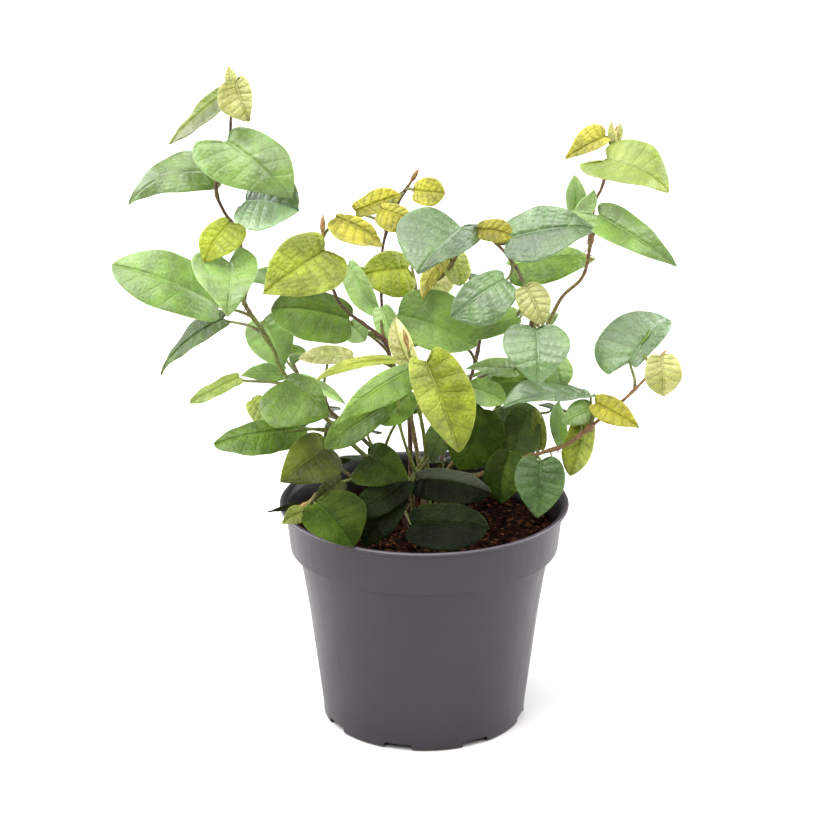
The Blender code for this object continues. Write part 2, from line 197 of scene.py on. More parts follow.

# What sets each leaf apart from the plain heart. A pair gives the left and the right half.
# outline, finish; width as a share of the solid's; joint and tip: how far each stands off the
# solid's, in millimetres; fold and roll (of the whole blade) in degrees; droop of the margins as
# a share of the half width; bow in millimetres; tone: partly the half's own colour and partly
# painted light and shade, deeper below 1 as painted shade, paler and greyer above it as a
# painted sheen.
LEAVES = {
    "tall_left_01": dict(finish="cream_leaf", outline=("heart", "full"), width=(0.65, 1.2),
                         joint=(1, 0, 1.5), tone=(0.95, 1.0)),
    "tall_left_02": dict(finish="pale_lime_leaf", outline=("broad", "long"), width=(1.25, 0.42),
                         joint=(2, 0, 2.5), tip=(-1, 0, 0.3), fold=10, roll=-10, bow=-1,
                         tone=(0.4, 0.78)),
    "tall_left_03": dict(outline=("full", "eared"), width=(0.82, 1.05), joint=(-1, 0, 2),
                         tip=(0, 0, -1), fold=-5, droop=0.25, tone=(0.9, 0.9)),
    "tall_left_04": dict(outline="pointed", width=(0.62, 0.88), joint=(3, 0, -2), fold=(-18, 8),
                         bow=2, tone=(0.75, 0.7)),
    "tall_left_05": dict(outline=("blunt", "full"), width=(1.0, 1.15), joint=(-0.5, 0, 3),
                         tip=(-0.5, 0, 2.5), tone=(0.7, 2.7)),
    "tall_left_06": dict(finish="lime_leaf", outline=("heart", "full"), width=(1.05, 0.68),
                         joint=(1.5, 0, 2.5), tip=(0.8, 0, 0), tone=(0.8, 1.0)),
    "tall_left_07": dict(outline=("blunt", "full"), width=(0.92, 0.85), joint=(4, 0, -5), bow=1,
                         tone=(1.15, 1.2)),
    "tall_left_08": dict(outline=("lobed", "broad"), width=(0.72, 1.0), joint=(-3, 0, 1.5),
                         tone=(1.3, 1.5)),
    "tall_left_09": dict(finish="mid_green_leaf", outline="long", width=(0.7, 0.6),
                         tone=(0.55, 0.48)),
    "tall_left_10": dict(finish="pale_lime_leaf", outline="oval", width=(0.5, 0.42)),
    "tall_left_11": dict(finish="mid_green_leaf", outline=("oval", "full"), width=(0.4, 1.4),
                         tone=(0.65, 0.75)),
    "tall_left_12": dict(finish="mid_green_leaf", outline="oval", width=(0.9, 0.5), tip=(0, 0, -1),
                         tone=(0.75, 0.7)),
    "middle_left_01": dict(finish="olive_gold_leaf", outline=("broad", "heart"), width=(1.05, 0.82),
                           tone=(1.45, 1.3)),
    "middle_left_02": dict(finish="golden_leaf", outline=("oval", "full"), width=(0.45, 2.05),
                           tone=(1.1, 0.9)),
    "middle_left_03": dict(finish="golden_leaf", outline="full", width=(0.62, 0.6),
                           joint=(1.5, 0, 0), tip=(2, 0, -1), tone=(1.05, 0.65)),
    "middle_left_04": dict(finish="golden_leaf", outline="full", width=(0.5, 1.1),
                           tone=(1.6, 0.95)),
    "middle_left_05": dict(finish="mid_green_leaf", outline="blunt", width=(1.12, 0.72),
                           tone=(0.95, 0.6)),
    "arching_01": dict(outline=("lobed", "full"), width=(0.5, 1.1), fold=(-25, 0),
                       tone=(0.65, 1.0)),
    "arching_02": dict(finish="lime_leaf", width=(1.0, 0.7), tone=(1.1, 1.1)),
    "arching_03": dict(width=(0.75, 1.0), tip=(-1.5, 0, 1.5), tone=(1.05, 0.75)),
    "arching_04": dict(finish="mid_green_leaf", width=(0.5, 1.0), joint=(-3, 0, -2), roll=-35,
                       tone=(2.8, 1.0)),
    "arching_05": dict(outline="full", width=(1.0, 0.56), tone=(1.3, 1.9)),
    "arching_06": dict(finish="cream_leaf", outline="oval", tone=0.85),
    "arching_07": dict(width=(0.93, 1.0), tone=(1.45, 1.25)),
    "arching_08": dict(finish="mid_green_leaf", outline="oval", width=(1.0, 0.7), tip=(0, 0, 2.5),
                       tone=(1.7, 2.2)),
    "low_right_01": dict(outline=("kidney", "blunt"), width=(1.05, 0.36), tone=(1.8, 1.4)),
    "low_right_02": dict(finish="cream_leaf", outline="full", width=0.9, joint=(2.5, 0, 2.5),
                         tip=(-0.8, 0, 0), tone=(1.9, 1.0)),
    "low_right_03": dict(finish="blue_green_leaf", outline="oval", width=(0.35, 1.0),
                         tone=(1.3, 1.5)),
    "low_right_04": dict(finish="shaded_leaf", width=0.86, tone=0.9),
    "tall_right_01": dict(finish="golden_leaf", outline="pointed", width=(0.45, 0.9),
                          joint=(2.5, 0, -2.5), tip=(1.5, 0, -3.5), tone=(2.1, 1.5)),
    "tall_right_02": dict(finish="pale_lime_leaf", outline=("round", "lobed"), width=(0.92, 0.72),
                          joint=(0, 0, 1.5), tone=0.9),
    "tall_right_03": dict(outline=("pointed", "eared"), width=(0.66, 0.78), joint=(0, 0, 1),
                          tone=(1.0, 1.1)),
    "tall_right_04": dict(finish="deep_green_leaf", tone=2.2),
    "centre_front_01": dict(finish="olive_gold_leaf", outline=("round", "heart"), width=(1.1, 0.76),
                            joint=(-3.5, 0, -3), tone=(1.0, 1.7)),
    "centre_front_02": dict(finish="mid_green_leaf", outline="pointed", width=(0.88, 0.45),
                            joint=(3, 0, 0), tone=(0.95, 1.8)),
    "low_front_01": dict(finish="olive_leaf", width=(1.0, 0.7), tone=(0.5, 0.95)),
    "low_front_02": dict(finish="deep_green_leaf", width=(0.6, 1.0), joint=(0, 0, -2),
                         tone=(0.7, 0.5)),
    "low_front_03": dict(finish="deep_green_leaf", outline=("full", "heart"), width=(1.3, 1.0),
                         tone=(0.58, 0.88)),
    "low_front_04": dict(finish="deep_shade_leaf", outline="full", width=(0.45, 0.9),
                         tone=(1.9, 0.45)),
    "low_front_05": dict(finish="deep_shade_leaf", outline="blunt", width=(0.7, 1.0),
                         joint=(0, 0, -1), tone=(0.8, 0.42)),
    "back_left_02": dict(finish="mid_green_leaf", tone=0.8),
    "back_right_04": dict(finish="mid_green_leaf", tone=0.8),
    "back_right_05": dict(finish="pale_lime_leaf", tone=0.7),
    "back_left_04": dict(tone=0.7),
    "back_left_01": dict(tone=0.85),
    "back_left_03": dict(tone=0.8),
    "back_right_01": dict(tone=0.85),
    "back_right_02": dict(tone=0.85),
    "back_right_03": dict(tone=0.8),
}

# Small and inner leaves. Each is placed from the joint of a leaf that has its own solid:
# neighbour, step from its joint to this joint, run from joint to tip, width, the way the upper
# side faces (degrees round from the front, degrees down from the vertical), fold, bow, finish,
# outline, tone (partly painted light and shade, as above). The last seventeen stand behind the
# middle and face the back.
MORE_LEAVES = [
    ("tall_left_01", (0, 1, 1), (-1, -1, 5), 4, (0, 75), 20, 0.5, "cream", "heart", 2.5),
    ("tall_left_10", (7, 10, 15), (6, -4, -14), 15, (0, 62), 10, 1.5, "fresh", "heart", (1.2, 3.0)),
    ("tall_left_11", (-2, 22, -5), (-13, -2, 0), 7, (0, 45), 10, 1.0, "mid_green", "heart", (1.9, 3.3)),
    ("middle_left_04", (10, 10, 3), (9, -3, 0), 9, (0, 62), 10, 0.5, "golden", "blunt", 1.3),
    ("middle_left_05", (0, 2, -2), (5, -2, -5), 8, (0, 60), 14, 1.0, "fresh", "full", (1.9, 3.8)),
    ("middle_left_05", (10, -8, 6), (4, -3, -11), 8, (-10, 70), 14, 1.0, "fresh", "full", (1.8, 3.6)),
    ("middle_left_05", (0, 4, 16), (9, -6, -15), 9, (-30, 70), 24, 1.0, "fresh", "full", (2.4, 3.1)),
    ("arching_03", (-10, 4, 1), (11, -4, -1), 8, (0, 55), 14, 1.0, "golden", "full", (0.68, 0.68)),
    ("arching_01", (-4, 8, -10), (-8, -7, -12), 7, (-30, 60), 24, 0.5, "golden", "oval", (1.0, 4.2)),
    ("arching_02", (13, -4, 7), (3, -4, -10), 9, (20, 65), 12, 1.0, "olive_gold", "blunt", 3.7),
    ("arching_02", (13, -4, -2), (-6, -3, -6), 6, (0, 60), 12, 1.0, "cream", "full", 8.0),
    ("arching_07", (6, 24, -15), (3, -5, -10), 10, (20, 65), 10, 1.0, "fresh", "blunt", (1.9, 0.9)),
    ("arching_05", (4, 12, -15), (-18, -4, -5), 9, (0, 55), 10, 1.0, "mid_green", "full", (1.6, 3.2)),
    ("arching_05", (4, 18, -34), (-15, -4, 2), 8, (0, 35), 10, 1.0, "fresh", "pointed", (1.5, 1.7)),
    ("arching_05", (8, 22, -39), (-13, -4, -1), 12, (0, 60), 10, 1.0, "mid_green", "heart", (0.6, 1.0)),
    ("arching_08", (22, 2, -24), (11, -5, -3), 9, (0, 55), 10, 1.0, "mid_green", "full", (1.4, 2.8)),
    ("low_right_03", (0, -1, -4), (-9, -3, -4), 8, (0, 60), 12, 1.0, "fresh", "heart", 1.7),
    ("low_right_03", (-2, 0, -8), (-4, -4, -17), 10, (20, 72), 10, 1.5, "olive_gold", "full", (1.9, 1.0)),
    ("low_right_04", (-9, 8, 0), (-3, -6, -14), 12, (-20, 70), 10, 1.5, "deep_green", "full", (1.1, 0.5)),
    ("low_right_02", (-17, -2, -12), (13, -4, -6), 9, (10, 55), 14, 1.0, "golden", "heart", 0.9),
    ("centre_front_02", (5, 3, -1), (-6, 8, 14), 8, (-20, 75), 22, 1.0, "cream", "oval", (1.1, 3.4)),
    ("centre_front_02", (-5, 9, -15), (-17, -4, -11), 10, (0, 55), 10, 1.5,
     "mid_green", "full", (0.6, 0.75)),
    ("centre_front_02", (4, 13, -11), (-9, -4, -9), 10, (0, 65), 10, 1.0,
     "mid_green", "full", (1.05, 0.95)),
    ("middle_left_05", (1, 0, -12), (-16, -4, 1), 7, (0, 38), 10, 1.5, "cream", "full", (2.4, 6.0)),
    ("middle_left_05", (14, -4, -12), (-24, -6, -4), 5, (0, 30), 14, 2.5, "lime", "oval", (1.9, 2.6)),
    ("tall_left_11", (4, 6, -1), (14, -4, -7), 4, (0, 45), 12, 0.5, "fresh", "oval", (2.9, 5.5)),
    ("tall_left_12", (-10, 8, 7), (9, -6, -8), 8, (0, 60), 12, 1.0, "olive_gold", "oval", (2.2, 2.4)),
    ("tall_left_12", (4, 12, -3), (-11, -4, -7), 11, (0, 60), 10, 1.5, "mid_green", "heart", 0.95),
    ("low_front_02", (12, -5, -8), (-17, -10, -8), 10, (0, 62), 10, 1.5,
     "deep_shade", "full", (0.65, 0.95)),
    ("low_front_01", (5, -9, -8), (-8, -6, -4), 7, (0, 70), 16, 1.0, "olive", "heart", 0.3),
    ("low_front_03", (-4, -2, -2), (-6, -4, -2), 6, (0, 60), 14, 1.0, "lime", "heart", 0.45),
    ("low_front_03", (-4, 6, -3), (-11, -2, -1), 3, (0, 40), 14, 0.5, "deep_shade", "long", 0.4),
    ("low_front_05", (-4, 8, 6), (-10, -10, -13), 12, (0, 65), 10, 1.5, "deep_shade", "full", 0.6),
    ("low_front_04", (9, 14, 12), (-5, -6, -9), 10, (-20, 65), 10, 1.0, "deep_green", "heart", 1.6),
    ("low_front_04", (20.5, 16, 17), (-8, -10, -16), 18, (10, 70), 8, 1.5, "deep_green", "full", 0.8),
    ("tall_right_04", (-2, 2, 10), (-5, -8, -16), 13, (-10, 70), 8, 1.5, "deep_green", "full", (1.5, 1.3)),
    ("low_right_03", (-8, 6, -19), (-2, -4, 16), 6, (-25, 80), 14, 0.5, "fresh", "full", (3.2, 4.5)),
    ("low_right_03", (-15, 6, -20), (-2, -2, 14), 5, (10, 80), 14, 0.5, "lime", "full", (0.4, 0.75)),
    ("tall_right_03", (-6, 10, -1), (-1, -1, 12), 7, (-10, 80), 24, 0.5, "fresh", "oval", (3.4, 3.0)),
    ("tall_right_03", (-6, 8, -2), (5, -2, 9), 6, (20, 75), 18, 0.5, "fresh", "oval", (3.4, 4.5)),
    ("tall_right_01", (5, 1, -4), (-1, -1, 6), 3, (-20, 80), 20, 0.3, "cream", "heart", 3.6),
    ("tall_right_01", (6, 2, -4), (1, 0, 5), 3, (20, 80), 20, 0.3, "cream", "heart", 2.6),
    ("back_left_04", (17, -12, -4), (-14, 10, -6), 18, (200, 45), 8, 1.5, "shaded", "heart", 1),
    ("back_left_04", (31, -8, 6), (-12, 8, -10), 18, (180, 50), 8, 1.5, "mid_green", "heart", 1),
    ("back_right_01", (-17, -24, 2), (-14, 6, -6), 18, (180, 40), 8, 1.5, "blue_green", "full", 1),
    ("back_right_01", (7, -24, -8), (14, 8, -8), 19, (150, 40), 8, 1.5, "mid_green", "heart", 1),
    ("back_right_01", (11, -30, 10), (10, 12, -6), 17, (150, 35), 8, 1.5, "fresh", "heart", 1),
    ("back_left_02", (15, -22, 5), (-12, 12, -6), 17, (210, 40), 8, 1.5, "mid_green", "heart", 1),
    ("tall_right_04", (6, 10, 8), (12, 8, -10), 18, (130, 45), 8, 1.5, "shaded", "heart", 1),
    ("arching_02", (1, 8, 0), (4, 14, -6), 16, (180, 40), 8, 1.5, "lime", "heart", 1),
    ("arching_02", (13, 2, 8), (6, 12, -4), 15, (180, 40), 8, 1.5, "golden", "heart", 1),
    ("tall_right_03", (2, 9, -2), (12, 8, -9), 13, (160, 40), 8, 1.5, "fresh", "heart", 1),
    ("tall_left_08", (3, 17, -6), (4, 14, -8), 18, (190, 45), 8, 1.5, "fresh", "heart", 1),
    ("tall_left_03", (1, 14, -8), (2, 14, -8), 18, (180, 45), 8, 1.5, "fresh", "full", 1),
    ("tall_right_02", (1, 8, 0), (12, 9, -3), 12, (170, 45), 8, 1.5, "lime", "heart", 1),
    ("low_right_01", (1, 6, 4), (6, 13, 3), 12, (180, 45), 8, 1.5, "mid_green", "heart", 1),
    ("tall_right_04", (-14, 0, -8), (14, 12, -6), 18, (140, 45), 8, 1.5, "shaded", "heart", 0.2),
    ("back_left_04", (21, -26, -8), (-14, 10, -6), 18, (220, 45), 8, 1.5, "shaded", "heart", 0.2),
    ("back_right_03", (-6, -18, -15), (2, 16, -6), 18, (180, 45), 8, 1.5, "shaded", "heart", 0.2),
]


# ================================================================ helpers

def linear(code):
    """An sRGB hex colour as linear red, green, blue and 1."""
    parts = [int(code[i:i + 2], 16) / 255 for i in (1, 3, 5)]
    return (*(c / 12.92 if c <= 0.04045 else ((c + 0.055) / 1.055) ** 2.4 for c in parts), 1.0)


def deselect():
    bpy.ops.object.select_all(action="DESELECT")


def make_active(piece):
    deselect()
    piece.select_set(True)
    bpy.context.view_layer.objects.active = piece


def apply_modifiers(piece):
    make_active(piece)
    for modifier in list(piece.modifiers):
        bpy.ops.object.modifier_apply(modifier=modifier.name)


def joined(pieces, name):
    make_active(pieces[0])
    for piece in pieces:
        piece.select_set(True)
    bpy.ops.object.join()
    pieces[0].name = pieces[0].data.name = name
    return pieces[0]


def node(tree, kind, inputs=None, **settings):
    """Adds a shader node. An input is a value, or a socket to link from."""
    made = tree.nodes.new(kind)
    for key, value in settings.items():
        setattr(made, key, value)
    for key, value in (inputs or {}).items():
        if isinstance(value, bpy.types.NodeSocket):
            tree.links.new(value, made.inputs[key])
        else:
            made.inputs[key].default_value = value
    return made


def maths(tree, operation, *values):
    made = node(tree, "ShaderNodeMath", dict(enumerate(values)), operation=operation)
    return made.outputs[0]


def ramp(tree, value, start, end, low=0.0, high=1.0):
    """Eases from low at start to high at end."""
    made = node(tree, "ShaderNodeMapRange", {
        "Value": value, "From Min": start, "From Max": end, "To Min": low, "To Max": high,
    }, interpolation_type="SMOOTHSTEP")
    return made.outputs[0]


def blended(tree, share, first, second):
    made = node(tree, "ShaderNodeMix", {0: share, 6: first, 7: second}, data_type="RGBA")
    return made.outputs[2]


def noise_value(tree, place, scale, detail=3.0):
    made = node(tree, "ShaderNodeTexNoise", {"Vector": place, "Scale": scale, "Detail": detail})
    return made.outputs[0]


def new_material(name, **values):
    material = bpy.data.materials.new(name)
    material.use_nodes = True
    shader = material.node_tree.nodes["Principled BSDF"]
    for key, value in values.items():
        shader.inputs[key.replace("_", " ")].default_value = value
    return material, material.node_tree, shader


def object_place(tree, stretch=(1.0, 1.0, 1.0)):
    """Object coordinates in millimetres, stretched where a pattern runs one way."""
    place = node(tree, "ShaderNodeTexCoord").outputs["Object"]
    scale = tuple(1 / MM / s for s in stretch)
    return node(tree, "ShaderNodeMapping", {"Vector": place, "Scale": scale}).outputs[0]


def bump(tree, shader, height, depth, strength=1.0):
    """Depth is the height of a full step of the pattern, in millimetres."""
    made = node(tree, "ShaderNodeBump", {"Height": height, "Strength": strength,
                                         "Distance": depth * MM})
    tree.links.new(made.outputs[0], shader.inputs["Normal"])


# ================================================================ materials

def leaf_material(name, light, dark, vein, under, roughness, wax, quilt, vein_share):
    """Living leaf: a waxy skin over green tissue that lets some light through.

    The wax gives a broad pale sheen, the veins read as sunken lines, and the underside is paler
    and duller. `blade` holds across (-1 to 1), along (0 to 1) and the leaf's tone, which paints
    light and shade: darker below 1, paler with a painted grey sheen above it;
    `spot` holds the place on the blade in millimetres, and 1 on the underside.
    """
    material, tree, shader = new_material(
        name, IOR=1.48, Subsurface_Weight=0.25, Subsurface_Radius=(0.7, 1.0, 0.25),
        Subsurface_Scale=1.2 * MM, Coat_Weight=wax, Coat_Roughness=0.34,
        Specular_IOR_Level=0.05 + 0.45 * min(1.0, wax * 1.5))
    blade = node(tree, "ShaderNodeAttribute", attribute_name="blade").outputs["Vector"]
    spot = node(tree, "ShaderNodeAttribute", attribute_name="spot").outputs["Vector"]
    across, along, tone = node(tree, "ShaderNodeSeparateXYZ", {0: blade}).outputs[:3]
    x, _, underside = node(tree, "ShaderNodeSeparateXYZ", {0: spot}).outputs[:3]
    reach = maths(tree, "ABSOLUTE", across)

    # Veins: the midrib, side veins that alternate left and right, and a fine net between them.
    midrib = ramp(tree, maths(tree, "ABSOLUTE", x), 0.5, 0.12)
    turn = maths(tree, "MULTIPLY", maths(tree, "LESS_THAN", across, 0.0), 0.5)
    count = maths(tree, "MULTIPLY_ADD", along, float(SIDE_VEINS), turn)
    side = ramp(tree, maths(tree, "PINGPONG", count, 0.5), 0.09, 0.02)
    side = maths(tree, "MULTIPLY", side, ramp(tree, reach, 1.0, 0.7))
    veins = maths(tree, "MAXIMUM", midrib, side)
    cells = node(tree, "ShaderNodeTexVoronoi", {"Vector": spot, "Scale": 0.62, "Randomness": 0.9},
                 feature="DISTANCE_TO_EDGE", voronoi_dimensions="2D").outputs["Distance"]
    net = ramp(tree, cells, 0.10, 0.0)
    swell = ramp(tree, cells, 0.0, 0.45)

    # Colour: soft patches about eight millimetres wide, the swellings a little paler as a painted
    # highlight, the veins, the pale margin, the half's tone (partly its own colour, with painted shade
    # below 1 and a painted grey sheen above it), a few brown specks, and the underside.
    place = object_place(tree)
    patches = ramp(tree, noise_value(tree, place, 0.13, 2.0), 0.34, 0.66)
    mottle = ramp(tree, noise_value(tree, place, 0.6), 0.35, 0.7)
    share = maths(tree, "MULTIPLY_ADD", patches, 0.72, maths(tree, "MULTIPLY", mottle, 0.18))
    # Painted highlight: the swellings between the fine veins are a little paler.
    share = maths(tree, "MULTIPLY_ADD", swell, 0.1, share)
    colour = blended(tree, share, linear(dark), linear(light))
    colour = blended(tree, maths(tree, "MULTIPLY", net, vein_share * 0.4), colour, linear(vein))
    colour = blended(tree, maths(tree, "MULTIPLY", veins, vein_share), colour, linear(vein))
    rim = ramp(tree, reach, 0.955, 0.99)
    colour = blended(tree, maths(tree, "MULTIPLY", rim, 0.4), colour, linear(vein))
    # The tone paints light and shade on each half: below 1 it darkens the colour as painted shade, above 1
    # it also lays a painted grey sheen over it.
    above = maths(tree, "MAXIMUM", maths(tree, "SUBTRACT", tone, 1.0), 0.0)
    depth = maths(tree, "MULTIPLY_ADD", above, 0.25, maths(tree, "MINIMUM", tone, 1.0))
    depth = node(tree, "ShaderNodeCombineXYZ", {0: depth, 1: depth, 2: depth}).outputs[0]
    painted_sheen = node(tree, "ShaderNodeVectorMath", {0: PAINTED_SHEEN, "Scale": above}, operation="SCALE")
    colour = node(tree, "ShaderNodeVectorMath", {0: colour, 1: depth, 2: painted_sheen.outputs[0]},
                  operation="MULTIPLY_ADD").outputs[0]
    dots = node(tree, "ShaderNodeTexVoronoi", {"Vector": spot, "Scale": 0.13},
                voronoi_dimensions="2D").outputs["Distance"]
    specks = ramp(tree, dots, 0.045, 0.015)
    colour = blended(tree, maths(tree, "MULTIPLY", specks, 0.4), colour, linear("#3a2810"))
    lower = blended(tree, maths(tree, "MULTIPLY", veins, 0.6), linear(under), linear(vein))
    colour = blended(tree, underside, colour, lower)
    tree.links.new(colour, shader.inputs["Base Color"])

    gloss = maths(tree, "MULTIPLY_ADD", mottle, 0.10, roughness - 0.05)
    gloss = maths(tree, "MULTIPLY_ADD", underside, 0.22, gloss)
    tree.links.new(gloss, shader.inputs["Roughness"])
    leather = noise_value(tree, place, 3.0, 2.0)
    height = maths(tree, "SUBTRACT", maths(tree, "MULTIPLY", swell, 0.7), veins)
    height = maths(tree, "ADD", height, maths(tree, "MULTIPLY", mottle, 0.35))
    height = maths(tree, "MULTIPLY_ADD", leather, 0.25, height)
    bump(tree, shader, height, quilt)
    return material


LEAF_FINISHES = {   # light, dark, vein and underside colours, roughness, wax, depth of the fine
    # quilting, how plainly the veins show; then the swellings between the side veins
    "golden_leaf": (("#b5ad2d", "#747110", "#c2b760", "#a0975a", 0.40, 0.25, 0.36, 0.18), 0.60),
    "olive_gold_leaf": (("#8e9821", "#5e680a", "#a0a74a", "#858b45", 0.40, 0.2, 0.36, 0.18), 0.60),
    "cream_leaf": (("#aeae6c", "#80802c", "#c4c384", "#a5a56e", 0.40, 0.5, 0.30, 0.18), 0.50),
    "lime_leaf": (("#a8b12f", "#7a8718", "#bcc258", "#959d45", 0.40, 0.3, 0.25, 0.15), 0.40),
    "pale_lime_leaf": (("#95a43f", "#687c1d", "#aeb964", "#9aa658", 0.44, 0.5, 0.16, 0.14), 0.22),
    "fresh_leaf": (("#779a3f", "#526a22", "#93b15c", "#7c9a55", 0.42, 0.8, 0.16, 0.15), 0.24),
    "blue_green_leaf": (("#567838", "#38531f", "#739556", "#5f7d4e", 0.36, 1.0, 0.22, 0.18), 0.34),
    "mid_green_leaf": (("#6b8a26", "#476114", "#87a350", "#6c8a4a", 0.40, 0.25, 0.20, 0.18), 0.28),
    "olive_leaf": (("#616c1c", "#3f4810", "#7b8440", "#667038", 0.42, 0.1, 0.20, 0.18), 0.30),
    "deep_green_leaf": (("#47591a", "#28380a", "#527029", "#3d5420", 0.42, 0.0, 0.16, 0.15), 0.24),
    # The shaded and deep-shade finishes are painted shade: their dark colours stand for shade low in the
    # plant.
    "shaded_leaf": (("#4b6530", "#2c4219", "#5f7a42", "#4a613a", 0.38, 0.25, 0.20, 0.18), 0.26),
    "deep_shade_leaf": (("#1f2a10", "#0d1505", "#2c3a1c", "#1f2b14", 0.45, 0.0, 0.14, 0.2), 0.24),
}


def bark_material():
    """Fig shoot: smooth green skin near the tips that turns to thin brown bark lower down.

    `stem` holds the run along the shoot in millimetres, how green the skin still is, and how
    much of it is dry tan skin, as on the youngest woody shoots and the buds.
    """
    material, tree, shader = new_material("fig_shoot_bark", IOR=1.45)
    stem = node(tree, "ShaderNodeAttribute", attribute_name="stem").outputs["Vector"]
    run, green, tan = node(tree, "ShaderNodeSeparateXYZ", {0: stem}).outputs[:3]
    place = object_place(tree)
    flecks = ramp(tree, noise_value(tree, place, 1.6, 4.0), 0.38, 0.68)
    patches = ramp(tree, noise_value(tree, place, 0.22), 0.35, 0.65)
    bark = blended(tree, flecks, linear("#33221a"), linear("#6b4c2b"))
    bark = blended(tree, maths(tree, "MULTIPLY", patches, 0.45), bark, linear("#5c2f20"))
    skin = blended(tree, flecks, linear("#56611a"), linear("#858f38"))
    share = maths(tree, "ADD", green, maths(tree, "MULTIPLY_ADD", patches, 0.3, -0.15))
    colour = blended(tree, ramp(tree, share, 0.15, 0.85), bark, skin)
    dry = blended(tree, flecks, linear("#8a6337"), linear("#b3945c"))
    colour = blended(tree, tan, colour, dry)
    tree.links.new(colour, shader.inputs["Base Color"])
    tree.links.new(maths(tree, "MULTIPLY_ADD", flecks, 0.2, 0.42), shader.inputs["Roughness"])
    rings = maths(tree, "SINE", maths(tree, "MULTIPLY", run, 4.0))
    height = maths(tree, "MULTIPLY_ADD", rings, 0.12, flecks)
    bump(tree, shader, height, 0.18)
    return material


def bract_material():
    """Dry bract: papery pinkish-tan scale that once wrapped a bud, dull and faintly streaked."""
    material, tree, shader = new_material("dry_bract", IOR=1.4, Roughness=0.75)
    streaks = noise_value(tree, object_place(tree, stretch=(1.0, 1.0, 4.0)), 1.5, 3.0)
    colour = blended(tree, ramp(tree, streaks, 0.35, 0.65), linear("#94683f"), linear("#c4a374"))
    tree.links.new(colour, shader.inputs["Base Color"])
    bump(tree, shader, streaks, 0.08)
    return material


def pot_material():
    """Injection-moulded polypropylene, purplish grey: satin, with faint upright flow marks.

    It is painted darker by height in the crease under the band and towards the foot, as painted
    shade, and paler where the lip is rubbed. `inside` is 1 on the inner wall, which is painted dark
    as shade, with some soil dust.
    """
    material, tree, shader = new_material("moulded_polypropylene", IOR=1.5, Specular_IOR_Level=0.55)
    place = object_place(tree)
    upright = object_place(tree, stretch=(1.0, 1.0, 26.0))
    flow = ramp(tree, noise_value(tree, upright, 0.35, 3.0), 0.2, 0.8)
    clouds = ramp(tree, noise_value(tree, place, 0.05), 0.3, 0.7)
    grain = noise_value(tree, place, 3.2, 2.0)
    colour = blended(tree, flow, linear("#1b101c"), linear("#221524"))
    colour = blended(tree, maths(tree, "MULTIPLY", clouds, 0.35), colour, linear("#281a28"))
    z = node(tree, "ShaderNodeSeparateXYZ", {0: place}).outputs[2]
    # Painted shade: the lowest twenty millimetres of the wall darken towards the foot.
    colour = blended(tree, ramp(tree, z, 20.0, 0.0, 0.0, 0.3), colour, linear("#0b080b"))
    # Painted shade: a dark line in the crease under the band.
    crease = maths(tree, "MULTIPLY", ramp(tree, z, 56.4, 56.1), ramp(tree, z, 54.2, 55.7))
    colour = blended(tree, maths(tree, "MULTIPLY", crease, 0.8), colour, linear("#050405"))
    rubbed = maths(tree, "MULTIPLY", ramp(tree, z, 70.3, 70.8), 0.25)
    colour = blended(tree, rubbed, colour, linear("#79727a"))
    # Painted shade: the inner wall is painted near black, with a little soil dust.
    inside = node(tree, "ShaderNodeAttribute", attribute_name="inside").outputs["Fac"]
    colour = blended(tree, inside, colour, linear("#0c0907"))
    tree.links.new(colour, shader.inputs["Base Color"])
    tree.links.new(maths(tree, "MULTIPLY_ADD", flow, 0.1, 0.34), shader.inputs["Roughness"])
    bump(tree, shader, maths(tree, "MULTIPLY_ADD", flow, 0.5, grain), 0.05)
    return material


def soil_material():
    """Damp peat: dark brown crumbs of uneven tone with paler dry bits, no shine."""
    material, tree, shader = new_material("peat_compost", IOR=1.4, Roughness=1.0,
                                          Specular_IOR_Level=0.1)
    place = object_place(tree)
    lumps = ramp(tree, noise_value(tree, place, 0.5, 5.0), 0.35, 0.68)
    bits = node(tree, "ShaderNodeTexVoronoi", {"Vector": place, "Scale": 0.9}).outputs["Color"]
    dry = node(tree, "ShaderNodeSeparateXYZ", {0: bits}).outputs[0]
    colour = blended(tree, lumps, linear("#0b0403"), linear("#2b140b"))
    colour = blended(tree, maths(tree, "MULTIPLY", ramp(tree, dry, 0.8, 0.95), 0.6), colour,
                     linear("#7a4c33"))
    tree.links.new(colour, shader.inputs["Base Color"])
    bump(tree, shader, noise_value(tree, place, 2.2, 6.0), 0.5)
    return material


def floor_material():
    """Matt white paint, rolled: even, with the faintest mottle."""
    material, tree, shader = new_material("matt_white_paint", Roughness=0.9, IOR=1.45)
    mottle = noise_value(tree, object_place(tree), 0.004, 2.0)
    colour = blended(tree, mottle, linear("#cdcdcc"), linear("#d1d1d0"))
    tree.links.new(colour, shader.inputs["Base Color"])
    return material


# ================================================================ camera, floor, light

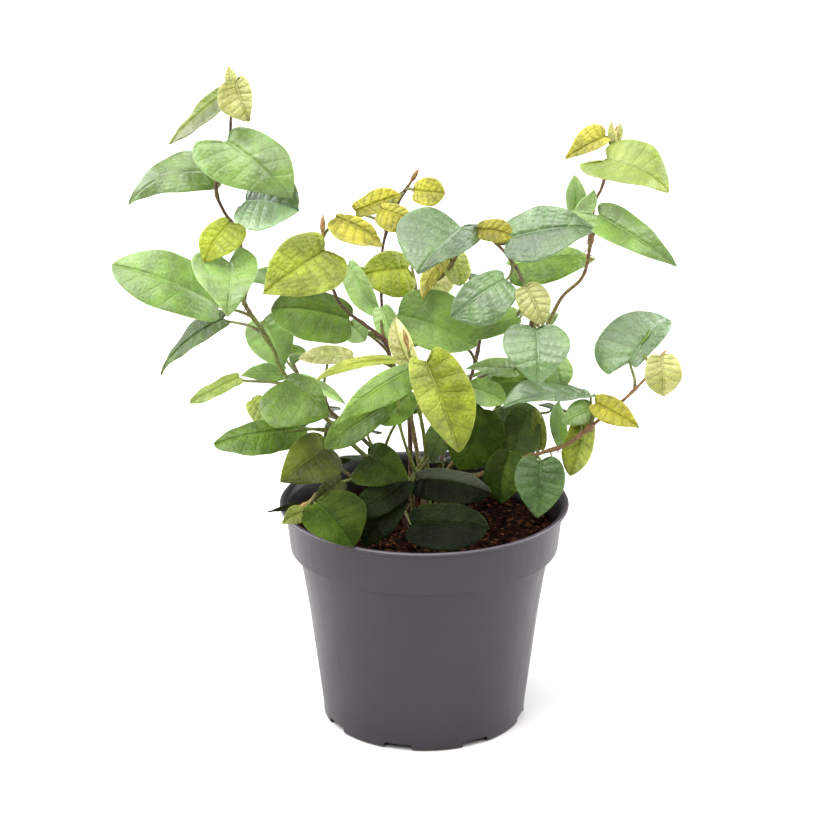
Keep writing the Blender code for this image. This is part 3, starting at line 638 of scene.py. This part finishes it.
def make_stage():
    camera = bpy.data.objects.new("camera", bpy.data.cameras.new("camera"))
    bpy.context.scene.collection.objects.link(camera)
    camera.location = CAMERA_PLACE
    camera.rotation_euler = (math.radians(90 - CAMERA_DIP), 0.0, 0.0)
    camera.data.lens = CAMERA_LENS
    camera.data.sensor_width = CAMERA_SENSOR
    bpy.context.scene.camera = camera

    deselect()
    bpy.ops.mesh.primitive_plane_add(size=FLOOR_SIDE, location=(0, 0, -FLOOR_GAP))
    floor = bpy.context.object
    floor.name = "floor"
    bpy.ops.object.transform_apply(location=True)
    floor.data.materials.append(floor_material())

    for name, (turn, rise, strength, spread, colour) in LIGHTS.items():
        data = bpy.data.lights.new(name, "SUN")
        data.angle = math.radians(spread)
        data.energy = strength
        data.color = linear(colour)[:3]
        light = bpy.data.objects.new(name, data)
        bpy.context.scene.collection.objects.link(light)
        light.rotation_euler = (math.radians(90 - rise), 0.0, math.radians(turn))
    world = bpy.data.worlds.new("studio")
    world.use_nodes = True
    background = world.node_tree.nodes["Background"]
    background.inputs[0].default_value = linear(SKY[0])
    background.inputs[1].default_value = SKY[1]
    bpy.context.scene.world = world
    bpy.context.scene.view_settings.view_transform = "Standard"


# ================================================================ pot and soil

def turned(name, profile, sides):
    """A round solid: a circle drawn out from ring to ring of (radius, height) in millimetres."""
    deselect()
    radius, height = profile[0]
    bpy.ops.mesh.primitive_circle_add(vertices=sides, radius=radius * MM,
                                      location=(0, 0, height * MM))
    piece = bpy.context.object
    piece.name = piece.data.name = name
    bpy.ops.object.transform_apply(location=True)
    bpy.ops.object.mode_set(mode="EDIT")
    bpy.ops.mesh.select_all(action="SELECT")
    for (radius, height), (wider, higher) in zip(profile, profile[1:]):
        bpy.ops.mesh.extrude_edges_move(
            TRANSFORM_OT_translate={"value": (0, 0, (higher - height) * MM)})
        size = wider / radius
        bpy.ops.transform.resize(value=(size, size, 1), center_override=(0, 0, higher * MM))
    bpy.ops.mesh.select_all(action="SELECT")
    bpy.ops.mesh.remove_doubles(threshold=0.000005)
    bpy.ops.mesh.normals_make_consistent(inside=False)
    bpy.ops.object.mode_set(mode="OBJECT")
    return piece


def arc(centre, radius, start, end, steps):
    """Points on an arc in the profile's plane, from start to end degrees."""
    angles = (math.radians(start + (end - start) * i / steps) for i in range(steps + 1))
    return [(centre[0] + radius * math.cos(a), centre[1] + radius * math.sin(a)) for a in angles]


def make_pot():
    _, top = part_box("pot")
    lip, height = top.x / MM, top.z / MM
    profile = [      # up the inside, over the lip, down the outside and across the foot
        (CLOSED, WALL), (12.0, WALL), (24.0, WALL), (30.9 - WALL - 1.0, WALL),
        *arc((30.4 - WALL, 2.2), 0.8, -80, 0, 4),
        (34.4 - WALL, 25.0), (37.75 - WALL, 47.4), (39.0 - WALL, 55.6), (39.2 - WALL, 56.9),
        (39.7 - WALL, 57.4), (41.5 - WALL, 57.6), (41.9 - WALL, 58.2), (41.4, 62.5),
        (lip - 2.9, height - 2.4), (lip - 2.4, height - 1.2), (lip - 1.7, height - 0.4),
        (lip - 1.2, height - 0.08), *arc((lip - 0.65, height - 0.65), 0.65, 90, -60, 8),
        (lip - 1.2, height - 1.75), (lip - 1.8, height - 2.0),
        (42.4, 62.0), (41.85, 57.0), (41.75, 56.55), (41.5, 56.3), (40.0, 56.2), (39.4, 56.1),
        (39.15, 55.8), (39.05, 55.3), (38.4, 51.0), (37.75, 47.4), (36.0, 36.0), (34.3, 22.0),
        (32.8, 10.0), (31.9, 2.4), *arc((30.9, 1.0), 1.0, 0, -90, 6),
        (27.0, 0.0), (26.0, 0.35), (14.0, 0.35), (CLOSED, 0.35),
    ]
    pot = turned("nursery_pot", profile, POT_SIDES)
    depth, width, tall = DRAIN_SLOT
    cutters = []
    for number in range(DRAIN_SLOTS):
        angle = math.radians(FIRST_SLOT_ANGLE + number * 360 / DRAIN_SLOTS)
        deselect()
        bpy.ops.mesh.primitive_cube_add(size=1.0)
        cutter = bpy.context.object
        cutter.scale = (depth * MM, width * MM, tall * 2 * MM)
        cutter.rotation_euler.z = angle
        cutter.location = (math.cos(angle) * DRAIN_RADIUS * MM,
                           math.sin(angle) * DRAIN_RADIUS * MM, 0)
        bpy.ops.object.transform_apply()
        rounding = cutter.modifiers.new("Rounding", "BEVEL")
        rounding.width = 0.8 * MM
        rounding.segments = 3
        apply_modifiers(cutter)
        cutters.append(cutter)
    tool = joined(cutters, "drain_slot_cutters")
    cut = pot.modifiers.new("Drain slots", "BOOLEAN")
    cut.object = tool
    cut.operation = "DIFFERENCE"
    apply_modifiers(pot)
    bpy.data.objects.remove(tool)
    make_active(pot)
    bpy.ops.object.shade_smooth_by_angle(angle=math.radians(EDGE_ANGLE))
    # Marks the inner wall, which the pot's material paints dark as shade.
    inside = pot.data.attributes.new("inside", "FLOAT", "POINT")
    for vertex, share in zip(pot.data.vertices, inside.data):
        x, y, z = vertex.co
        inward = -(vertex.normal.x * x + vertex.normal.y * y) / max(math.hypot(x, y), MM)
        share.value = min(1.0, max(0.0, inward * 2 - 0.5)) if z > 0.05 else 0.0
    pot.data.materials.append(pot_material())
    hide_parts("pot")
    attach(pot, BODY)


def soil_height(x, y):
    """How far the soil stands above or below its level, in millimetres."""
    place = Vector((x, y, 0))
    broad = noise.noise(place / 14) * 1.3
    lumps = noise.noise(place / 3.6 + Vector((9, 4, 0))) * 0.7
    grains = abs(noise.noise(place / 1.3)) * 0.75
    return broad + lumps + grains


def soil_rise(x, y, radius, edge):
    """The same, sunk a little towards the wall."""
    settle = max(0.0, (radius - edge + SETTLE_WIDTH) / SETTLE_WIDTH)
    return soil_height(x, y) - SETTLE_DEPTH * settle


def make_soil():
    low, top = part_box("soil")
    level, edge = top.z / MM, top.x / MM
    rings = [(CLOSED + (edge - 0.2 - CLOSED) * (i / SOIL_RINGS), level) for i in
             range(SOIL_RINGS + 1)]
    below = [
        (edge - 0.1, level - 3.5), (39.9, 58.0), (37.9, 57.8), (37.4, 55.5), (36.1, 47.5),
        (30.1, 2.4), (29.3, low.z / MM), (CLOSED, low.z / MM),
    ]
    soil = turned("peat_soil", rings + below, SOIL_SIDES)
    mesh = soil.data
    for vertex in mesh.vertices:
        x, y, z = vertex.co / MM
        if z > level - 0.5:
            vertex.co.z += soil_rise(x, y, math.hypot(x, y), edge) * MM
    mesh.shade_smooth()

    draw = random.Random(3)
    deselect()
    bpy.ops.mesh.primitive_ico_sphere_add(subdivisions=2, radius=0.5 * MM)
    crumb = bpy.context.object
    for vertex in crumb.data.vertices:      # an angular lump, not a ball
        bulge = noise.noise(vertex.co / (0.35 * MM)) * 0.55
        vertex.co *= 1 + bulge
    pieces = [soil]
    for number in range(CRUMBS + FIBRES):
        copy = crumb.copy()
        copy.data = crumb.data.copy()
        bpy.context.scene.collection.objects.link(copy)
        radius = (edge - 1.2) * math.sqrt(draw.random())
        angle = draw.uniform(0, math.tau)
        x, y = radius * math.cos(angle), radius * math.sin(angle)
        if number < CRUMBS:
            size = 0.6 + 2.0 * draw.random() ** 3
            shape = Vector((draw.uniform(0.7, 1.3), draw.uniform(0.7, 1.3), draw.uniform(0.5, 0.9)))
            turn = Matrix.Rotation(draw.uniform(0, math.tau), 4, "Z")
            lift = size * 0.25
        else:
            size = 1.0
            shape = Vector((draw.uniform(4, 9), 0.4, 0.35))
            turn = Matrix.Rotation(draw.uniform(0, math.tau), 4, "Z")
            turn = turn @ Matrix.Rotation(draw.uniform(-0.25, 0.25), 4, "Y")
            lift = 0.5
        z = level + soil_rise(x, y, radius, edge) + lift
        spot = Matrix.Translation(Vector((x, y, z)) * MM)
        copy.data.transform(spot @ turn @ Matrix.Diagonal((*(shape * size), 1.0)))
        pieces.append(copy)
    bpy.data.objects.remove(crumb)
    soil = joined(pieces, "peat_soil")
    soil.data.materials.append(soil_material())
    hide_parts("soil")
    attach(soil, BODY)


# ================================================================ leaf shape

def node_points(name):
    """A CAD node's corners in millimetres, each once."""
    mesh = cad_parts[name].data
    places = np.empty(len(mesh.vertices) * 3)
    mesh.vertices.foreach_get("co", places)
    return np.unique(places.reshape(-1, 3).round(7), axis=0) / MM


def pair_middle(points, first):
    """The middle of a corner and its nearest neighbour, which lies across the thin blade."""
    second = points[np.argsort(np.linalg.norm(points - first, axis=1))[1]]
    return (first + second) / 2, second - first


def blade_from_node(name, stem_points):
    """Joint, axes, length, width, fold and bow of a leaf, measured on its solid.

    The stalk ends in a ring of corners just under the joint, so the blade's corner that lies
    nearest to eight corners of the shoot is the joint's. The tip is the corner farthest off.
    """
    points = node_points(name)
    reach = np.linalg.norm(points[:, None] - stem_points[None], axis=2)
    lower = points[np.sort(reach, axis=1)[:, :8].mean(axis=1).argmin()]
    joint, up = pair_middle(points, lower)
    tip, _ = pair_middle(points, points[np.linalg.norm(points - joint, axis=1).argmax()])
    along = tip - joint
    length = np.linalg.norm(along)
    along /= length
    up -= along * (up @ along)
    up /= np.linalg.norm(up)
    side = np.cross(along, up)
    x, y, z = ((points - joint) @ np.array((side, along, up)).T).T
    share = y / length
    terms = np.stack((np.abs(x), 4 * share * (1 - share)), axis=1)
    slope, bow = np.linalg.lstsq(terms, z, rcond=None)[0]
    width = 2 * np.abs(x).max() / WIDEST
    return Blade(joint, side, along, up, length, width, slope * 1.2, bow)


class Blade:
    """Where a leaf blade lies and how it bends."""

    def __init__(self, joint, side, along, up, length, width, slope, bow):
        self.joint, self.side, self.along, self.up = (
            np.array(v, float) for v in (joint, side, along, up))
        self.length, self.width, self.slope, self.bow = length, width, slope, bow

    def moved(self, joint, tip):
        """The same blade with its joint and tip shifted by a few millimetres."""
        start = self.joint + joint
        run = self.joint + self.along * self.length + tip - start
        length = np.linalg.norm(run)
        side, along, up = blade_axes(run / length, self.up)
        return Blade(start, side, along, up, length, self.width, self.slope, self.bow)


def blade_axes(along, up):
    up = up - along * (up @ along)
    up /= np.linalg.norm(up)
    return np.cross(along, up), along, up


def blade_from_plan(joint, run, width, facing, fold, bow):
    length = float(np.linalg.norm(run))
    turn, lean = (math.radians(angle) for angle in facing)
    up = np.array((math.sin(turn) * math.sin(lean), -math.cos(turn) * math.sin(lean),
                   math.cos(lean)))
    side, along, up = blade_axes(np.array(run, float) / length, up)
    return Blade(joint, side, along, up, length, width, math.tan(math.radians(fold)), bow)


def halves(value, across):
    """One value for the whole blade, or a pair: the left half's and the right half's."""
    left, right = value if isinstance(value, tuple) else (value, value)
    return np.where(across < 0, left, right)


def half_outline(kind, shares):
    """Points on half of a margin, from the notch (0) to the tip (1); across and along are 0 to 1."""
    lobe, widest, taper = OUTLINES[kind]
    t = np.linspace(0, 1, 40)
    inner = np.stack((LOBE_PLACE * t, -lobe * (1 - np.cos(np.pi * t)) / 2))
    swing = t[1:] * np.pi / 2
    outer = np.stack((LOBE_PLACE + (1 - LOBE_PLACE) * np.sin(swing),
                      widest - (widest + lobe) * np.cos(swing)))
    closing = (1 - BLUNT) * np.cos(swing) ** taper + BLUNT * np.sqrt(np.abs(np.cos(swing)))
    narrow = np.stack((closing, widest + (1 - widest) * t[1:]))
    x, y = np.concatenate((inner, outer, narrow), axis=1)
    run = np.concatenate(([0], np.cumsum(np.hypot(np.diff(x) * 0.45, np.diff(y)))))
    place = shares * run[-1]
    return np.interp(place, run, x), np.interp(place, run, y)


def margin(outline, across, forward):
    """The margin beside each point, on its own half of the blade."""
    left, right = outline if isinstance(outline, tuple) else (outline, outline)
    shares = NOTCH_SHARE + (1 - NOTCH_SHARE) * forward
    (left_x, left_y), (right_x, right_y) = half_outline(left, shares), half_outline(right, shares)
    return np.where(across < 0, left_x, right_x), np.where(across < 0, left_y, right_y)


def blade_surface(blade, shape, quilt, draw, across, forward):
    """Where a blade's points lie, and each point's place on the flat blade, in millimetres."""
    reach = np.abs(across)
    edge_x, edge_y = margin(shape.get("outline", "heart"), across, forward)
    half = blade.width * halves(shape.get("width", 1.0), across) / 2
    out = edge_x * reach * half
    share = forward ** VEIN_LEAN * (1 - reach) + edge_y * reach
    y = share * blade.length

    # Each half is turned up about the midrib, with a soft crease, and its margin droops.
    tilt = math.atan(blade.slope) + np.radians(halves(shape.get("fold", 0.0), across))
    x = np.sign(across) * out * np.cos(tilt)
    z = (np.sqrt(out ** 2 + CREASE ** 2) - CREASE) * np.sin(tilt)
    z += (blade.bow + shape.get("bow", 0.0)) * 4 * share * (1 - share)
    z -= halves(shape.get("droop", draw.uniform(0.02, 0.14)), across) * out ** 2 / half

    # Swellings between the side veins, waves along the margin, and the bends of the whole blade.
    veins = forward * SIDE_VEINS + 0.5 * (across < 0)
    dome = np.abs(np.sin(np.pi * veins)) ** 0.7
    body = np.clip(reach / 0.15, 0, 1) * np.clip((1 - reach) / 0.12, 0, 1)
    cross = np.abs(np.sin(np.pi * (reach * CROSS_VEINS + np.floor(veins) * 0.37))) ** 0.6
    z += quilt * dome * body * (0.45 + 0.55 * cross) * min(1.0, blade.length / 16)
    z -= 0.22 * np.exp(-(out / 0.5) ** 2)
    first, second = draw.uniform(0, math.tau), draw.uniform(0, math.tau)
    phase = np.where(across < 0, first, second)
    wave = 0.03 * blade.width * draw.uniform(0.6, 1.4)
    z += wave * np.sin(forward * math.tau * 1.35 + phase) * reach ** 2.2
    z += wave * 0.35 * np.sin(forward * math.tau * 3.3 + phase * 2) * reach ** 3
    curl = draw.uniform(0.02, 0.08)
    z -= curl * blade.length * np.clip((share - 0.6) / 0.4, 0, 1) ** 2
    bend = draw.uniform(-0.05, 0.05)
    x = x + bend * blade.width * 4 * share * (1 - share)
    twist = np.radians(draw.uniform(-8, 8) * share + shape.get("roll", 0))
    x, z = x * np.cos(twist) - z * np.sin(twist), x * np.sin(twist) + z * np.cos(twist)
    places = blade.joint + np.outer(x, blade.side) + np.outer(y, blade.along)
    return places + np.outer(z, blade.up), np.sign(across) * out, y


def make_leaf(name, blade, shape, grid):
    """A blade from a grid whose rows follow the side veins, then given its thickness."""
    draw = random.Random(name)
    columns, rows = grid
    swell = LEAF_FINISHES[shape["finish"]][1]
    deselect()
    bpy.ops.mesh.primitive_grid_add(x_subdivisions=columns, y_subdivisions=rows, size=2.0)
    leaf = bpy.context.object
    leaf.name = leaf.data.name = name
    mesh = leaf.data
    count = len(mesh.vertices)
    corners = np.empty(count * 3)
    mesh.vertices.foreach_get("co", corners)
    across, forward = corners.reshape(-1, 3)[:, 0], (corners.reshape(-1, 3)[:, 1] + 1) / 2
    places, x, y = blade_surface(blade, shape, swell, draw, across, forward)
    mesh.vertices.foreach_set("co", (places * MM).astype(np.float32).ravel())
    # Each half's tone is partly its own colour and partly painted light and shade.
    tone = halves(shape.get("tone", 1.0), across)
    add_vectors(mesh, "blade", np.stack((across, forward, tone), axis=1))
    add_vectors(mesh, "spot", np.stack((x, y + draw.uniform(0, 90), np.zeros(count)), axis=1))
    weld = leaf.modifiers.new("Tip", "WELD")
    weld.merge_threshold = 0.02 * MM
    thickness = leaf.modifiers.new("Thickness", "SOLIDIFY")
    thickness.thickness = BLADE_THICKNESS * MM
    thickness.offset = -1.0
    apply_modifiers(leaf)
    mark_underside(mesh)
    mesh.shade_smooth()
    mesh.materials.append(LEAF_MATERIALS[shape["finish"]])
    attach(leaf, BODY)
    return leaf


def add_vectors(mesh, name, values):
    attribute = mesh.attributes.new(name, "FLOAT_VECTOR", "POINT")
    attribute.data.foreach_set("vector", values.astype(np.float32).ravel())


def mark_underside(mesh):
    """Sets the third number of `spot` to 1 on the lower skin, which Solidify adds after the upper."""
    spot = np.empty(len(mesh.vertices) * 3)
    attribute = mesh.attributes["spot"]
    attribute.data.foreach_get("vector", spot)
    spot = spot.reshape(-1, 3)
    spot[len(spot) // 2:, 2] = 1.0
    attribute.data.foreach_set("vector", spot.astype(np.float32).ravel())


# ================================================================ shoots

BRACT_PLACES = []        # filled as the shoots are made: place, way along the shoot, way out
ROOTLET_PLACES = []      # place, way along the shoot


def smooth_path(points, samples):
    """Points on the Catmull-Rom curve through the given ones."""
    ends = [points[0] * 2 - points[1], *points, points[-1] * 2 - points[-2]]
    path = []
    for i in range(1, len(ends) - 2):
        before, start, end, after = ends[i - 1:i + 3]
        for step in range(samples):
            t = step / samples
            path.append(0.5 * (2 * start + (end - before) * t
                               + (2 * before - 5 * start + 4 * end - after) * t ** 2
                               + (3 * start - before - 3 * end + after) * t ** 3))
    return path + [points[-1]]


def bezier(a, b, c, d, samples):
    path = []
    for step in range(samples):
        t = step / (samples - 1)
        path.append(a * (1 - t) ** 3 + b * 3 * t * (1 - t) ** 2 + c * 3 * t * t * (1 - t) + d * t ** 3)
    return path


def tube(name, path, radii, green, tan):
    """A round, capped tube along points in millimetres, with its `stem` attribute."""
    curve = bpy.data.curves.new(name, "CURVE")
    curve.dimensions = "3D"
    curve.bevel_depth = MM
    curve.bevel_resolution = 2
    curve.use_fill_caps = True
    spline = curve.splines.new("POLY")
    spline.points.add(len(path) - 1)
    for point, place, radius in zip(spline.points, path, radii):
        point.co = (*(place * MM), 1.0)
        point.radius = radius
    guide = bpy.data.objects.new(name + "_guide", curve)
    bpy.context.scene.collection.objects.link(guide)
    seen = guide.evaluated_get(bpy.context.evaluated_depsgraph_get())
    mesh = bpy.data.meshes.new_from_object(seen)
    bpy.data.objects.remove(guide)
    piece = bpy.data.objects.new(name, mesh)
    bpy.context.scene.collection.objects.link(piece)
    weld = piece.modifiers.new("Caps", "WELD")
    weld.merge_threshold = 0.005 * MM
    apply_modifiers(piece)
    mesh.materials.clear()
    mesh.shade_smooth()
    centres = np.array(path) * MM
    corners = np.empty(len(mesh.vertices) * 3)
    mesh.vertices.foreach_get("co", corners)
    gaps = np.linalg.norm(corners.reshape(-1, 1, 3) - centres[None], axis=2)
    nearest = gaps.argmin(axis=1)
    runs = np.concatenate(([0], np.cumsum(np.linalg.norm(np.diff(centres, axis=0), axis=1)))) / MM
    shares = np.array(green)[nearest], np.array(tan)[nearest]
    add_vectors(mesh, "stem", np.stack((runs[nearest], *shares), axis=1))
    return piece


def stalk_route(blade, routes):
    """From the shoot's nearest point, a little lower down, to just under the blade's joint."""
    joint, up, along = (Vector(v) for v in (blade.joint, blade.up, blade.along))
    under, behind = STALK_AIM
    aim = joint - up * under - along * behind
    route, index = min(
        ((route, i) for route in routes for i in range(8, len(route))),
        key=lambda pick: (pick[0][pick[1]] - aim).length)
    index -= 3
    root = route[index]
    seat = joint - up * STALK_SEAT
    stem = (route[index + 1] - route[index]).normalized()
    reach = (seat - root).length
    leave = root + (stem + (seat - root).normalized()).normalized() * reach * 0.4
    return bezier(root, leave, seat - up * min(3.0, reach * 0.4), seat, STALK_POINTS), route, index


def make_shoot(name, blades):
    routes = [smooth_path([Vector(point) for point in route], ROUTE_POINTS)
              for route in SHOOTS[name]]
    routes[0].insert(1, routes[0][0] + Vector((0, 0, UPRIGHT_FOOT)))
    routes[0].insert(0, routes[0][0] - Vector((0, 0, ROOT_DEPTH)))
    draw = random.Random(name)
    radii = []
    for number, route in enumerate(routes):
        first = FORK_RADIUS if number else FOOT_RADIUS
        last = len(route) - 1
        radii.append([first + (TIP_RADIUS - first) * (i / last) ** TAPER for i in range(last + 1)])
    stalks = []
    for blade in blades:
        path, route, index = stalk_route(blade, routes)
        stalks.append(path)
        ahead = (route[index + 1] - route[index]).normalized()
        BRACT_PLACES.append((route[index], ahead, (path[3] - path[0]).normalized()))
        number = next(n for n, r in enumerate(routes) if r is route)
        for i in range(len(route)):         # a swollen joint where the stalk leaves
            gap = (route[i] - route[index]).length
            radii[number][i] *= 1 + 0.4 * math.exp(-(gap / 1.3) ** 2)
    for share in ROOTLETS.get(name, ()):
        index = int(share * (len(routes[0]) - 2))
        ROOTLET_PLACES.append((routes[0][index], (routes[0][index + 1] - routes[0][index])))
    pieces = []
    for number, route in enumerate(routes):
        ahead = (route[-1] - route[-2]).normalized()
        path = route + [route[-1] + ahead * distance for distance, _ in BUD]
        sizes = [r * (1 + 0.10 * math.sin(i * 1.7) * draw.random()) for i, r in
                 enumerate(radii[number])] + [radius for _, radius in BUD]
        steps = np.linspace(0, 1, len(SHOOT_GREEN[name]))
        green = np.interp(np.linspace(0.3 if number else 0, 1, len(path)), steps, SHOOT_GREEN[name])
        tan = [SHOOT_TAN.get(name, 0.0)] * (len(path) - len(BUD) - 2) + [BUD_TAN] * (len(BUD) + 2)
        pieces.append(tube(f"{name}_{number}", path, sizes, green, tan))
    for number, path in enumerate(stalks):
        last = STALK_POINTS - 1
        sizes = [STALK_RADIUS * (1.3 - 0.4 * (i / last)) for i in range(STALK_POINTS)]
        green = [0.35 + 0.6 * i / last for i in range(STALK_POINTS)]
        pieces.append(tube(f"{name}_stalk_{number}", path, sizes, green, [0.0] * STALK_POINTS))
    shoot = joined(pieces, name.replace("shoot", "fig_shoot"))
    shoot.data.materials.append(BARK)
    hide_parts(name)
    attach(shoot, BODY)


def make_bracts():
    """A dry scale or two where each stalk leaves its shoot: one flattened cone, copied."""
    length, width, thickness = BRACT
    draw = random.Random(11)
    deselect()
    bpy.ops.mesh.primitive_cone_add(vertices=10, radius1=width / 2 * MM, radius2=0.0,
                                    depth=length * MM, location=(0, 0, length / 2 * MM))
    model = bpy.context.object
    bpy.ops.object.transform_apply(location=True)
    bpy.ops.object.mode_set(mode="EDIT")
    bpy.ops.mesh.select_all(action="SELECT")
    bpy.ops.mesh.subdivide(number_cuts=2)
    bpy.ops.transform.resize(value=(1, thickness / width, 1))
    bpy.ops.object.mode_set(mode="OBJECT")
    for vertex in model.data.vertices:      # the belly swells, and the point turns outwards
        share = vertex.co.z / (length * MM)
        vertex.co.x *= 1 + 1.2 * math.sin(math.pi * share)
        vertex.co.y += 0.5 * MM * share ** 2
    pieces = []
    for place, ahead, out in BRACT_PLACES:
        for turn in draw.sample((-0.9, 0.8), draw.choice((1, 1, 2))):
            up = (ahead + out * draw.uniform(0.2, 0.8)).normalized()
            side = up.cross(out).normalized()
            frame_axes = Matrix((side, up.cross(side), up)).transposed().to_4x4()
            grow = draw.uniform(0.55, 1.1)
            copy = model.copy()
            copy.data = model.data.copy()
            bpy.context.scene.collection.objects.link(copy)
            copy.data.transform(Matrix.Translation(place * MM) @ Matrix.Rotation(turn, 4, ahead)
                                @ frame_axes @ Matrix.Scale(grow, 4))
            pieces.append(copy)
    bpy.data.objects.remove(model)
    bracts = joined(pieces, "fig_bracts")
    bracts.data.shade_smooth()
    bracts.data.materials.append(bract_material())
    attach(bracts, BODY)


def make_rootlets():
    """Tufts of thin air roots, which this climber grows where a shoot meets something."""
    draw = random.Random(5)
    pieces = []
    for place, ahead in ROOTLET_PLACES:
        ahead = ahead.normalized()
        for number in range(ROOTLETS_IN_TUFT):
            start = place + ahead * draw.uniform(-2.5, 2.5)
            out = Vector([draw.gauss(0, 1) for _ in range(3)])
            out = (out - ahead * out.dot(ahead)).normalized() + Vector((0, 0, -0.35))
            reach = draw.uniform(1.2, 2.6)
            droop = Vector((draw.uniform(-0.5, 0.5), draw.uniform(-0.5, 0.5), -0.8)) * reach * 0.5
            path = bezier(start, start + out * reach * 0.5, start + out * reach * 0.9,
                          start + out * reach + droop, len(ROOTLET_RADII))
            green, tan = ([share] * len(path) for share in (0.4, 0.7))
            pieces.append(tube(f"rootlet_{number}", path, ROOTLET_RADII, green, tan))
    rootlets = joined(pieces, "fig_rootlets")
    rootlets.data.materials.append(BARK)
    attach(rootlets, BODY)


def make_plant():
    stems = {name: node_points(name) for name in SHOOTS}
    blades = {}
    by_shoot = {name: [] for name in SHOOTS}
    for name in sorted(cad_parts):
        if not name.startswith("leaf_"):
            continue
        shoot = "shoot_" + name[5:-3]
        blades[name] = blade_from_node(name, stems[shoot])
        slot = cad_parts[name].data.materials[0].name
        shape = {"finish": AGE_FINISH[slot], **LEAVES.get(name[5:], {})}
        blade = blades[name].moved(shape.get("joint", (0, 0, 0)), shape.get("tip", (0, 0, 0)))
        by_shoot[shoot].append(blade)
        leaf = make_leaf(name.replace("leaf", "fig_leaf"), blade, shape, BLADE_GRID)
        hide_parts(name)
    for number, plan in enumerate(MORE_LEAVES, 1):
        neighbour, step, run, width, facing, fold, bow, finish, outline, tone = plan
        joint = blades["leaf_" + neighbour].joint + np.array(step, float)
        blade = blade_from_plan(joint, run, width, facing, fold, bow)
        by_shoot["shoot_" + neighbour[:-3]].append(blade)
        shape = {"finish": finish + "_leaf", "outline": outline, "tone": tone}
        slot = FINISH_SLOT[shape["finish"]]
        make_leaf(f"fig_small_leaf_{number:02d}", blade, shape, SMALL_BLADE_GRID)
    for name in SHOOTS:
        make_shoot(name, by_shoot[name])
    make_bracts()
    make_rootlets()


make_stage()
make_pot()
make_soil()
LEAF_MATERIALS = {name: leaf_material(name, *look) for name, (look, _) in LEAF_FINISHES.items()}
BARK = bark_material()
make_plant()
